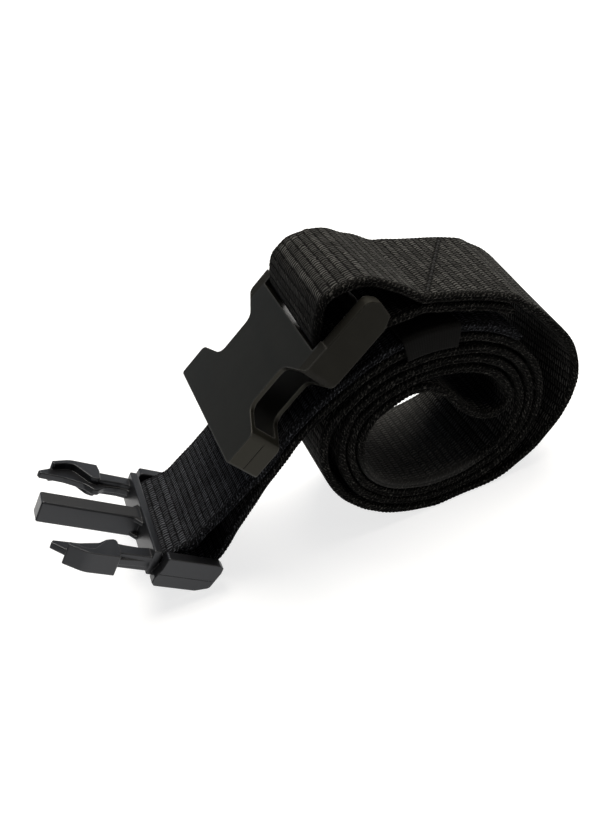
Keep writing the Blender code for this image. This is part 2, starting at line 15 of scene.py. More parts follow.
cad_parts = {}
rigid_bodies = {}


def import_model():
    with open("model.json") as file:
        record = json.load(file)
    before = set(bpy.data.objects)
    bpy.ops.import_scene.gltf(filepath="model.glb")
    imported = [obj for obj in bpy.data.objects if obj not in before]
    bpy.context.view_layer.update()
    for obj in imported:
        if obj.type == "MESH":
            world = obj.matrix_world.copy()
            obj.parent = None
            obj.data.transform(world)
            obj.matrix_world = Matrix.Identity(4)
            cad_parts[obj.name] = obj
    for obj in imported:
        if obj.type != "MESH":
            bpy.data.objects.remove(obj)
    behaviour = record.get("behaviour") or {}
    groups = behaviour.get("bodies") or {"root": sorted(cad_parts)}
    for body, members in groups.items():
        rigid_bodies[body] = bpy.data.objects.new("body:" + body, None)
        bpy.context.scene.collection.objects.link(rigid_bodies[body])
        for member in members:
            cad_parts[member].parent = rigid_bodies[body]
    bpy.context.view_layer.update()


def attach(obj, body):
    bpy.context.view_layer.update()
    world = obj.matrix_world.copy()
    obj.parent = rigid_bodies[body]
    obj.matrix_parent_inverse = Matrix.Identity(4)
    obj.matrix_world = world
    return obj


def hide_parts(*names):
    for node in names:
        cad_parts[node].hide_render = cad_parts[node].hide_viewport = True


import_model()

MM = 0.001

# ---- driving sizes (mm) ---------------------------------------------------------------------
STRAP_W = 50.0          # width of the webbing
STRAP_T = 3.2           # thickness of the webbing
STRAP_EDGE = 0.7        # rounding of its edges
PLY_GAP = 0.55          # air between two plies that lie together
SEAM_GAP = 0.8          # air between the two sewn plies

BUCKLE_W = 62.0         # width over the side blocks and over the rails
BUCKLE_T = 13.2         # thickness of both halves
PLATE_T = 1.85          # top and bottom plate of the socket
PLATE_L = 47.6          # mouth to the plates' rear edge
BAR_X = 65.7            # mouth to the bar
BAR_R = 3.2
SLOT_HALF = 26.0        # half the clear width between rails and between side blocks

SOCKET_TILT = 33.2      # degrees, mouth end down
PLUG_TILT = 39.1        # degrees, prongs up
PLUG_YAW = 3.2          # degrees, prongs away along the roll's axis
PLUG_ROLL = 3.7         # degrees, far side down
PLUG_AT = (-94.2, 10.4, -76.15)    # middle of the plug's front face, from the bar's centre
LEAN = 1.2              # degrees by which the tables' plane is turned, plug side down
FLOOR = -96.2           # underside of the roll below the bar's centre, after that turn
ORIGIN = (-24.23, 5.8, FLOOR)      # middle of the whole, from the bar's centre, after that turn

# ---- the roll's core: inner face of ply 1, clockwise from the top -----------------------------
# pitch is ply to ply outwards, pitch_in inwards, lift raises ply 3 and the tail for the keeper
CORE = [
    # x,     z,     pitch, pitch_in, lift
    (0.0, -35.5, 4.45, 3.90, 0.0),
    (10.0, -33.2, 4.20, 3.60, 0.5),
    (20.0, -32.9, 3.70, 3.70, 1.7),
    (30.0, -35.0, 3.70, 4.10, 1.7),
    (39.0, -38.9, 4.05, 4.30, 0.7),
    (46.0, -44.2, 4.20, 4.30, 0.0),
    (50.3, -50.5, 4.20, 4.30, 0.0),
    (51.8, -57.5, 4.20, 4.30, 0.0),
    (51.0, -64.5, 4.10, 4.00, 0.0),
    (48.0, -71.0, 3.95, 4.00, 0.0),
    (43.0, -76.0, 3.80, 4.00, 0.0),
    (36.0, -79.6, 3.65, 4.00, 0.0),
    (28.0, -81.6, 3.60, 4.00, 0.0),
    (19.0, -82.1, 3.60, 4.00, 0.0),
    (10.0, -80.8, 3.60, 4.00, 0.0),
    (2.0, -77.8, 3.60, 4.00, 0.0),
    (-4.0, -73.5, 3.60, 4.00, 0.0),
    (-7.9, -68.0, 3.65, 4.00, 0.0),
    (-9.5, -61.0, 3.70, 4.00, 0.0),
    (-9.0, -54.5, 3.80, 4.00, 0.0),
    (-6.6, -49.2, 3.95, 4.00, 0.0),
    (-3.0, -45.6, 4.10, 4.00, 0.0),
]

# ---- the outer wrap: its outside face, clockwise from the sewn part's right end ---------------
# far is how much further out the far edge runs than the near edge
WRAP = [
    # x,     z,     far
    (61.2, -21.7, 2.6), (65.4, -26.1, 3.0), (68.8, -30.9, 3.2), (72.0, -35.8, 2.8),
    (75.1, -40.8, 1.8), (77.5, -45.8, 0.2), (79.2, -51.5, -2.6), (79.7, -58.0, -5.6),
    (78.5, -65.1, -6.4), (75.5, -72.0, -4.8), (70.6, -78.7, -2.6), (65.3, -83.8, -0.9),
    (59.2, -88.4, 0.0), (52.0, -92.4, 0.0), (45.0, -95.1, 0.0), (39.0, -96.5, 0.0),
    (32.0, -97.1, 0.0), (24.0, -97.1, 0.0), (16.0, -96.9, 0.0), (8.5, -95.7, 0.0),
    (0.0, -93.0, 0.0), (-8.2, -88.8, 0.0), (-15.3, -83.1, 0.0), (-21.0, -76.3, 0.0),
    (-24.7, -69.1, 0.0), (-26.6, -61.5, 0.0), (-26.8, -54.0, 0.0), (-25.3, -46.5, 0.0),
    (-22.2, -40.2, 0.0), (-17.5, -35.4, 0.0), (-12.0, -32.3, 0.0),
]

# ---- the sewn overlap: the seam between its two plies, left to right --------------------------
SEAM = [
    # x,     z,     far
    (22.8, -5.6, 0.0), (28.0, -7.4, -0.2), (34.0, -9.6, -0.4), (41.0, -12.4, -0.2),
    (47.0, -15.2, 0.4), (52.5, -18.5, 1.2), (56.6, -21.1, 1.9),
]

# ---- the loop round the socket's bar: middle of the ply, from the lower ply over the top ------
# far_x and far_z are how far the far edge lies from where the near edge is
LOOP = [
    # x,     z,   far_x, far_z
    (15.0, -7.3, 0.0, 0.2), (8.0, -7.3, 0.0, 0.0), (2.0, -8.6, 0.0, 0.0), (-4.0, -10.1, 0.0, 0.0),
    (-9.2, -10.2, 0.4, 0.0), (-13.4, -7.9, 0.8, 0.0), (-16.3, -4.1, 1.1, -0.1),
    (-15.5, -0.3, 0.9, 0.0), (-13.9, 3.2, 0.2, 0.1), (-12.4, 7.2, 0.6, -0.6),
    (-10.4, 10.4, 1.5, -2.0), (-7.0, 11.8, 1.2, -1.9), (-1.2, 12.4, 0.6, -2.4),
    (3.4, 11.8, 0.0, -2.4), (7.8, 10.0, 0.0, -2.2), (12.8, 6.3, -0.4, -2.1),
    (17.3, 2.6, -0.3, -1.2),
]

# ---- the fold at the strap's middle: middle of the ply, clockwise from ply 0 ------------------
FOLD = [
    # x,     z
    (49.7, -58.6), (48.3, -61.6), (45.6, -63.6), (42.0, -64.1), (38.0, -62.8), (34.2, -60.0),
    (31.0, -56.0), (28.4, -51.4), (25.8, -47.0), (22.8, -43.2), (19.0, -40.4), (14.5, -38.9),
]

# ---- ply 3 from the roll's shoulder down to the plug: middle of the ply -----------------------
# drift is how far along, from 0 at the roll to 1 at the plug, the sideways shift has come
RUN = [
    # x,     z,    drift
    (-7.6, -26.6, 0.0), (-13.0, -28.7, 0.0), (-19.3, -31.4, 0.0), (-25.9, -35.3, 0.04),
    (-31.8, -39.9, 0.13), (-37.9, -46.3, 0.27), (-44.3, -53.5, 0.46), (-51.3, -61.8, 0.66),
    (-59.8, -71.6, 0.86), (-67.3, -80.4, 0.98),
]

# ---- through the plug: middle of the ply, in the plug's own axes (x to the prongs, z up) ------
BARS = [
    # x,     z
    (-21.8, 6.3), (-19.6, 2.7), (-15.2, -0.8), (-10.2, -3.3), (-5.5, -4.3), (-2.5, -3.0),
    (-1.25, 0.0), (-2.5, 3.1), (-5.2, 5.3), (-8.0, 8.1),
]

# ---- the tail from the plug until it lies on ply 3: middle of the ply -------------------------
TAIL = [
    # x,     z,    drift
    (-80.2, -75.0, 1.0), (-73.6, -71.6, 1.0), (-66.4, -67.4, 0.97), (-59.9, -62.6, 0.87),
    (-54.1, -57.6, 0.74),
]

TAIL_PAST = 0.10        # how far the tail's end lies from the core's sixth row to its seventh


# ---- curves -----------------------------------------------------------------------------------
def smooth(points, per=12):
    """A smooth curve through the points, as a dense list."""
    pts = [Vector(p) for p in points]
    pts = [pts[0] * 2 - pts[1]] + pts + [pts[-1] * 2 - pts[-2]]
    out = []
    for i in range(1, len(pts) - 2):
        p0, p1, p2, p3 = pts[i - 1], pts[i], pts[i + 1], pts[i + 2]
        t0 = 0.0
        t1 = t0 + max((p1 - p0).length, 1e-6) ** 0.5
        t2 = t1 + max((p2 - p1).length, 1e-6) ** 0.5
        t3 = t2 + max((p3 - p2).length, 1e-6) ** 0.5
        for k in range(per):
            t = t1 + (t2 - t1) * k / per
            a1 = p0 * ((t1 - t) / (t1 - t0)) + p1 * ((t - t0) / (t1 - t0))
            a2 = p1 * ((t2 - t) / (t2 - t1)) + p2 * ((t - t1) / (t2 - t1))
            a3 = p2 * ((t3 - t) / (t3 - t2)) + p3 * ((t - t2) / (t3 - t2))
            b1 = a1 * ((t2 - t) / (t2 - t0)) + a2 * ((t - t0) / (t2 - t0))
            b2 = a2 * ((t3 - t) / (t3 - t1)) + a3 * ((t - t1) / (t3 - t1))
            out.append(b1 * ((t2 - t) / (t2 - t1)) + b2 * ((t - t1) / (t2 - t1)))
    out.append(pts[-2])
    return out


def left_normal(points, i):
    """Unit normal on the left of the direction of travel, in the x, z plane."""
    a = points[max(i - 1, 0)]
    b = points[min(i + 1, len(points) - 1)]
    d = Vector((b[0] - a[0], b[1] - a[1])).normalized()
    return Vector((-d.y, d.x))


def offset(points, distance):
    """The curve moved to its left by a distance."""
    return [Vector(p[:2]) + left_normal(points, i) * distance for i, p in enumerate(points)]


def lengths(points):
    run = [0.0]
    for a, b in zip(points, points[1:]):
        run.append(run[-1] + (Vector(b[:3]) - Vector(a[:3])).length)
    return run


def sample(points, run, s):
    lo, hi = 0, len(run) - 1
    while hi - lo > 1:
        mid = (lo + hi) // 2
        if run[mid] <= s:
            lo = mid
        else:
            hi = mid
    f = (s - run[lo]) / max(run[hi] - run[lo], 1e-9)
    return Vector(points[lo]).lerp(Vector(points[hi]), min(max(f, 0.0), 1.0))


# ---- the strap's route --------------------------------------------------------------------------
def core_ply(ply, rows):
    """Middle of a ply of the core at the given rows, in the order given."""
    out = []
    n = len(CORE)
    for r in rows:
        x, z, pitch, pitch_in, lift = CORE[r]
        ahead = CORE[r + 1][:2] if r + 1 < n else closing_row()
        if r > 0:
            back = CORE[r - 1][:2]
            d = Vector((ahead[0] - back[0], ahead[1] - back[1])).normalized()
        else:
            d = Vector((0.985, 0.175))
        out_dir = Vector((-d.y, d.x))
        k = ply - 0.5
        away = k * pitch + (lift if ply >= 3 else 0.0) if ply >= 1 else k * pitch_in
        if ply >= 4:
            away = 2.5 * pitch + lift + (ply - 3) * (STRAP_T + PLY_GAP + 0.12)
        out.append(Vector((x, z)) + out_dir * away)
    return out


def closing_row():
    """Where the core's inner face is one turn on: two plies further in."""
    x, z, pitch, pitch_in, lift = CORE[0]
    return (x + 0.175 * 2 * pitch_in, z - 0.985 * 2 * pitch_in)


def level(p):
    """A point from the tables' plane turned so that the floor is level."""
    a = math.radians(LEAN)
    return Vector((p[0] * math.cos(a) - p[2] * math.sin(a), p[1],
                   p[2] * math.cos(a) + p[0] * math.sin(a)))


def plug_axes():
    """The plug's own axes: x to the prongs, y near, z up."""
    t, w, r = (math.radians(v) for v in (PLUG_TILT, PLUG_YAW, PLUG_ROLL))
    ax = Vector((-math.cos(t) * math.cos(w), math.cos(t) * math.sin(w), math.sin(t)))
    flat = Vector((-ax.y, ax.x, 0.0)).normalized()
    ay = flat * math.cos(r) + ax.cross(flat) * math.sin(r)
    return ax, ay, ax.cross(ay)


def row(x, z, y=0.0, cross=(0.0, 1.0, 0.0)):
    """A station: its middle and the direction across the strap, near to far."""
    return Vector((x, y, z, *cross))


def splayed(x, z, far_x, far_z):
    """A station whose far edge is set off from where the near edge lies."""
    return row(x + far_x / 2, z + far_z / 2, 0.0, (far_x / STRAP_W, 1.0, far_z / STRAP_W))


def drifted(x, z, drift):
    """A station on the way to the plug."""
    target = -plug_axes()[1]
    cross = Vector((0.0, 1.0, 0.0)).lerp(target, drift).normalized()
    return row(x, z, PLUG_AT[1] * drift, cross)


def offset_rows(table, distance, every, reverse=False):
    """Splayed stations on a curve moved to its left; the third column splays it to its left."""
    dense = smooth(table, 8)
    out = []
    for i in range(0, len(dense), every):
        n = left_normal(dense, i)
        p = Vector(dense[i][:2]) + n * distance
        far = n * dense[i][2]
        out.append(splayed(p.x, p.y, far.x, far.y))
    return out[::-1] if reverse else out


def strap_route():
    """Stations of the whole strap, in mm from the bar's centre, from the sewn cut end to the
    tail's end, and the first station of each stretch."""
    last = len(CORE) - 1
    half = (STRAP_T + SEAM_GAP) / 2
    out = []
    starts = [0]
    out += offset_rows(SEAM, -half, 8, reverse=True)        # sewn ply, to the left
    out += [splayed(*r) for r in LOOP]                      # round the bar
    out += offset_rows(SEAM, half, 8)                       # over the sewn ply, to the right
    starts.append(len(out))
    out += offset_rows(WRAP, -STRAP_T / 2, 8)               # outer wrap
    starts.append(len(out))
    for ply, rows in ((2, range(0, last + 1)), (0, range(0, 8))):
        out += [row(p.x, p.y) for p in core_ply(ply, rows)]
    out += [row(x, z) for x, z in FOLD]
    for ply, rows in ((-1, (1, 0)), (1, range(last, -1, -1))):
        out += [row(p.x, p.y) for p in core_ply(ply, rows)]
    starts.append(len(out))
    out += [row(p.x, p.y) for p in core_ply(3, range(last, -1, -1))]
    out += [drifted(*r) for r in RUN]
    ax, ay, az = plug_axes()
    for x, z in BARS:
        p = Vector(PLUG_AT) + ax * x + az * z
        out.append(row(p.x, p.z, p.y, -ay))
    out += [drifted(*r) for r in TAIL]
    held = RUN[:7]                                          # the tail lies on ply 3 here
    for i in range(len(held) - 1, -1, -1):
        p = Vector(held[i][:2]) - left_normal(held, i) * (STRAP_T + PLY_GAP)
        out.append(drifted(p.x, p.y, held[i][2]))
    out += [row(p.x, p.y) for p in core_ply(4, range(0, 5))]
    a, b = core_ply(4, [5, 6])
    p = a.lerp(b, TAIL_PAST)
    out.append(row(p.x, p.y))
    return out, starts


def world(p):
    q = level(p)
    return Vector(((q.x - ORIGIN[0]) * MM, (q.y - ORIGIN[1]) * MM, (q.z - ORIGIN[2]) * MM))


# ---- the webbing as it looks --------------------------------------------------------------------
RIB = 2.70              # mm, rib to rib along the strap
STEP = RIB / 5          # station to station
VALLEY = 0.30           # depth of the valley between two ribs
VALLEY_W = 0.52         # how wide it is
LOBE = 0.80             # radius of the two rolled cords of a selvedge
BEAD = RIB / 1.6        # pitch of the turns of thread along them

# one half of the cross-section, from the middle of the upper face to the edge's groove
FACE_Y = (0.0, 10.6, 21.2)
EDGE = [
    # y,     z,     how much of the rib, how much of the bead
    (23.1, 1.60, 0.55, 0.15),
    (24.05, 1.60, 0.10, 0.75),
    (24.85, 1.34, 0.0, 1.0),
    (25.22, 0.82, 0.0, 1.0),
    (25.02, 0.28, 0.0, 0.8),
]
GROOVE = (24.55, 0.0)


def section():
    """The closed cross-section: y, z, rib share, bead share and which cord (+1 upper, -1 lower)."""
    quarter = [(y, STRAP_T / 2, 1.0, 0.0) for y in FACE_Y] + list(EDGE)
    upper_far = [(y, z, r, b, 1) for y, z, r, b in quarter]
    lower_far = [(y, -z, r, b, -1) for y, z, r, b in quarter[::-1]]
    groove_far = [(GROOVE[0], 0.0, 0.0, 0.5, 0)]
    lower_near = [(-y, -z, r, b, -1) for y, z, r, b in quarter[1:]]
    groove_near = [(-GROOVE[0], 0.0, 0.0, 0.5, 0)]
    upper_near = [(-y, z, r, b, 1) for y, z, r, b in quarter[:0:-1]]
    return upper_far + groove_far + lower_far + lower_near + groove_near + upper_near


class Route:
    """The strap's middle line at even steps, with the directions along, across and up."""

    def __init__(self):
        dense = np.array([tuple(p) for p in smooth(strap_route()[0], 10)])
        run = np.concatenate([[0], np.cumsum(np.linalg.norm(np.diff(dense[:, :3], axis=0), axis=1))])
        self.length = run[-1]
        count = int(self.length // STEP)
        self.s = np.linspace(0.0, self.length, count + 1)
        rows = np.stack([np.interp(self.s, run, dense[:, k]) for k in range(6)], 1)
        a = math.radians(LEAN)
        turn = np.array([[math.cos(a), 0, -math.sin(a)], [0, 1, 0], [math.sin(a), 0, math.cos(a)]])
        middle = rows[:, :3] @ turn.T
        middle[:, 2] = np.maximum(middle[:, 2], FLOOR + STRAP_T / 2)
        self.middle = middle - np.array(ORIGIN)
        self.across = rows[:, 3:] @ turn.T
        along = np.gradient(self.middle, axis=0)
        kernel = np.ones(5) / 5
        along = np.stack([np.convolve(np.pad(along[:, k], 2, mode="edge"), kernel, "valid") for k in range(3)], 1)
        self.along = along / np.linalg.norm(along, axis=1)[:, None]
        up = np.cross(self.across, self.along)
        self.up = up / np.linalg.norm(up, axis=1)[:, None]

    def at(self, s):
        """Middle, along, across and up at a distance along the strap (mm)."""
        return [np.array([np.interp(s, self.s, v[:, k]) for k in range(3)])
                for v in (self.middle, self.along, self.across, self.up)]

    def point(self, s, y, lift):
        m, _, c, u = self.at(s)
        return m + c * y + u * lift


def wobble(s, y, seed, size):
    """Slow, smooth unevenness of the weave."""
    return noise.noise(Vector((s / size, y / size, seed)))


def build_webbing(route, mat):
    sec = section()
    n, m = len(route.s), len(sec)
    sec = np.array(sec)
    y, z, rib_share, bead_share, cord = sec.T
    s = route.s[:, None] + np.zeros((1, m))
    yy = np.zeros((n, 1)) + y[None, :]
    # ribs wander a little along the strap, and differ a little in height
    drift = np.zeros((n, m))
    tall = np.zeros((n, m))
    deep = np.zeros((n, m))
    for j in range(m):
        for i in range(0, n, 4):
            drift[i, j] = wobble(route.s[i], y[j], 3.1, 23.0)
            tall[i, j] = wobble(route.s[i], y[j] * 1.5, 8.4, 6.5)
            deep[i, j] = noise.noise(Vector((round(route.s[i] / RIB) * 1.37, y[j] / 19.0, 4.4)))
        grid = np.arange(0, n, 4)
        drift[:, j] = np.interp(np.arange(n), grid, drift[grid, j])
        tall[:, j] = np.interp(np.arange(n), grid, tall[grid, j])
        deep[:, j] = np.interp(np.arange(n), grid, deep[grid, j])
    phase = (s / RIB + 0.10 * drift) % 1.0
    off = np.minimum(phase, 1 - phase) * RIB
    # every other valley is the deeper one
    turn = np.where(np.round(s / RIB + 0.10 * drift) % 2 > 0.5, 0.45, 1.0)
    valley = np.exp(-(off / VALLEY_W) ** 2) * VALLEY * np.clip(turn + 0.9 * deep + 0.3 * tall, 0.15, 1.6)
    low = (valley + 0.10 * np.clip(tall, 0, 1)) * rib_share
    # the selvedge: two cords of threads turned round the outermost weft, half a turn apart
    bead_phase = s / BEAD + 0.25 * cord[None, :]
    bead = 0.5 + 0.5 * np.cos(2 * math.pi * bead_phase + 2.6 * drift + 1.4 * tall)
    bead = np.clip(bead * (0.60 + 1.3 * tall), 0.0, 1.0)
    side = np.sign(y)[None, :]
    zc = z[None, :]
    out_y = yy + side * bead_share * (0.20 * bead - 0.18 + 0.20 * tall)
    flat = np.sign(zc) * np.minimum(np.abs(zc), STRAP_T / 2)
    out_z = flat - np.sign(zc) * (low + bead_share * 0.18 * (1 - bead) * (np.abs(zc) > 0.5))
    # the ends are cut hot: thinner, with the threads melted together
    for end, sign in ((0, 1), (n - 1, -1)):
        for k in range(5):
            i = end + sign * k
            f = (0.70, 0.84, 0.93, 0.98, 1.0)[k]
            out_z[i] *= f + 0.06 * np.sin(y * 1.9 + k)
    across, up = route.across, route.up
    verts = (route.middle[:, None, :] + across[:, None, :] * out_y[:, :, None] + up[:, None, :] * out_z[:, :, None])
    verts[:, :, 2] = np.maximum(verts[:, :, 2], 0.0)
    flat_verts = verts.reshape(-1, 3)
    i = np.arange(n - 1)[:, None] * m
    j = np.arange(m)[None, :]
    k = (j + 1) % m
    quads = np.stack([i + j, i + k, i + m + k, i + m + j], -1).reshape(-1, 4)
    # end caps, as strips from the upper to the lower row
    half = m // 2
    top = list(range(0, len(FACE_Y) + len(EDGE) + 1)) + []
    caps = []
    order = [(j0, (2 * (len(FACE_Y) + len(EDGE)) - j0)) for j0 in range(len(FACE_Y) + len(EDGE))]
    near_top = [0] + list(range(m - 1, m - len(FACE_Y) - len(EDGE), -1))
    near_low = [2 * (len(FACE_Y) + len(EDGE))] + list(range(2 * (len(FACE_Y) + len(EDGE)) + 1, 2 * (len(FACE_Y) + len(EDGE)) + len(FACE_Y) + len(EDGE)))
    far_top = list(range(0, len(FACE_Y) + len(EDGE)))
    far_low = [2 * (len(FACE_Y) + len(EDGE)) - v for v in far_top]
    groove_f = len(FACE_Y) + len(EDGE)
    groove_n = m - (len(FACE_Y) + len(EDGE))
    for base, flip in ((0, False), ((n - 1) * m, True)):
        for a, b, g, back in ((far_top, far_low, groove_f, flip), (near_top, near_low, groove_n, not flip)):
            strip = [(a[q], a[q + 1], b[q + 1], b[q]) for q in range(len(a) - 1)] + [(a[-1], g, b[-1])]
            for f in strip:
                f = tuple(base + v for v in f)
                caps.append(f[::-1] if back else f)
    mesh = bpy.data.meshes.new("webbing")
    mesh.from_pydata((flat_verts * MM).tolist(), [], quads.tolist() + caps)
    # where each corner lies on the strap: mm along, mm round the cross-section
    step = np.hypot(np.diff(np.append(y, y[0])), np.diff(np.append(z, z[0])))
    around = np.concatenate([[0], np.cumsum(step)])
    total = len(mesh.loops)
    vert = np.zeros(total, np.int32)
    mesh.loops.foreach_get("vertex_index", vert)
    si, ji = vert // m, vert % m
    place = np.zeros((total, 3), np.float32)
    place[:, 0] = (s + 0.10 * RIB * drift)[si, ji]
    place[:, 1] = around[ji]
    quad_loops = np.arange(total) < 4 * len(quads)
    last = quad_loops & (ji == 0)
    # the strip that closes the ring ends at the full perimeter
    owner_j = np.repeat(np.tile(np.arange(m), n - 1), 4)
    fix = np.zeros(total, bool)
    fix[: len(owner_j)] = (owner_j == m - 1)
    place[last & fix, 1] = around[-1]
    place[:, 2] = y[ji]
    layer = mesh.attributes.new("weave", "FLOAT_VECTOR", "CORNER")
    layer.data.foreach_set("vector", place.ravel())
    obj = bpy.data.objects.new("webbing", mesh)
    bpy.context.scene.collection.objects.link(obj)
    bm = bmesh.new()
    bm.from_mesh(mesh)
    bmesh.ops.recalc_face_normals(bm, faces=bm.faces)
    bm.to_mesh(mesh)
    bm.free()
    mesh.shade_smooth()
    mesh.materials.append(mat)
    return obj


# ---- materials ----------------------------------------------------------------------------------
class Graph:
    """Short ways to write a material's nodes."""

    def __init__(self, name):
        self.mat = bpy.data.materials.new(name)
        self.mat.use_nodes = True
        self.tree = self.mat.node_tree
        self.shader = self.tree.nodes["Principled BSDF"]

    def set(self, **values):
        for name, value in values.items():
            self.shader.inputs[name.replace("_", " ")].default_value = value

    def put(self, name, out):
        self.tree.links.new(out, self.shader.inputs[name])

    def node(self, kind, **props):
        node = self.tree.nodes.new("ShaderNode" + kind)
        for key, value in props.items():
            setattr(node, key, value)
        return node

    def feed(self, socket, value):
        if isinstance(value, bpy.types.NodeSocket):
            self.tree.links.new(value, socket)
        else:
            socket.default_value = value

    def calc(self, op, *values, clamp=False):
        node = self.node("Math", operation=op, use_clamp=clamp)
        for socket, value in zip(node.inputs, values):
            self.feed(socket, value)
        return node.outputs[0]

    def span(self, value, low, high, to_low=0.0, to_high=1.0, kind="SMOOTHSTEP"):
        node = self.node("MapRange", interpolation_type=kind)
        self.feed(node.inputs["Value"], value)
        for name, v in (("From Min", low), ("From Max", high), ("To Min", to_low), ("To Max", to_high)):
            self.feed(node.inputs[name], v)
        return node.outputs["Result"]

    def colour(self, factor, a, b):
        node = self.node("Mix", data_type="RGBA")
        self.feed(node.inputs[0], factor)
        for socket, value in ((node.inputs[6], a), (node.inputs[7], b)):
            self.feed(socket, value if isinstance(value, bpy.types.NodeSocket) else (*value, 1.0))
        return node.outputs[2]

    def noise(self, where, scale, detail=2.0, rough=0.5, stretch=None):
        if stretch:
            scaled = self.node("VectorMath", operation="MULTIPLY")
            self.feed(scaled.inputs[0], where)
            scaled.inputs[1].default_value = stretch
            where = scaled.outputs[0]
        node = self.node("TexNoise")
        self.feed(node.inputs["Vector"], where)
        node.inputs["Scale"].default_value = scale
        node.inputs["Detail"].default_value = detail
        node.inputs["Roughness"].default_value = rough
        return node.outputs["Fac"]

    def place(self):
        return self.node("TexCoord").outputs["Object"]

    def read(self, name):
        return self.node("Attribute", attribute_name=name).outputs["Vector"]

    def split(self, vector):
        node = self.node("SeparateXYZ")
        self.feed(node.inputs[0], vector)
        return node.outputs[0], node.outputs[1], node.outputs[2]

    def bump(self, height, distance, strength=1.0, normal=None):
        node = self.node("Bump")
        node.inputs["Strength"].default_value = strength
        node.inputs["Distance"].default_value = distance
        self.feed(node.inputs["Height"], height)
        if normal is not None:
            self.feed(node.inputs["Normal"], normal)
        return node.outputs[0]

    def edge_turn(self, radius):
        """How far the surface near an edge turns away from its own normal."""
        bevel = self.node("Bevel", samples=6)
        bevel.inputs["Radius"].default_value = radius
        geo = self.node("NewGeometry")
        dot = self.node("VectorMath", operation="DOT_PRODUCT")
        self.feed(dot.inputs[0], bevel.outputs[0])
        self.feed(dot.inputs[1], geo.outputs["Normal"])
        return bevel.outputs[0], self.calc("SUBTRACT", 1.0, dot.outputs["Value"])


SEAM_FROM, SEAM_TO = (159.5, 21.5), (134.0, -21.0)     # the slanting seam: mm along the strap, mm across
FLOAT_PITCH = 1.36      # mm, float to float along a rib


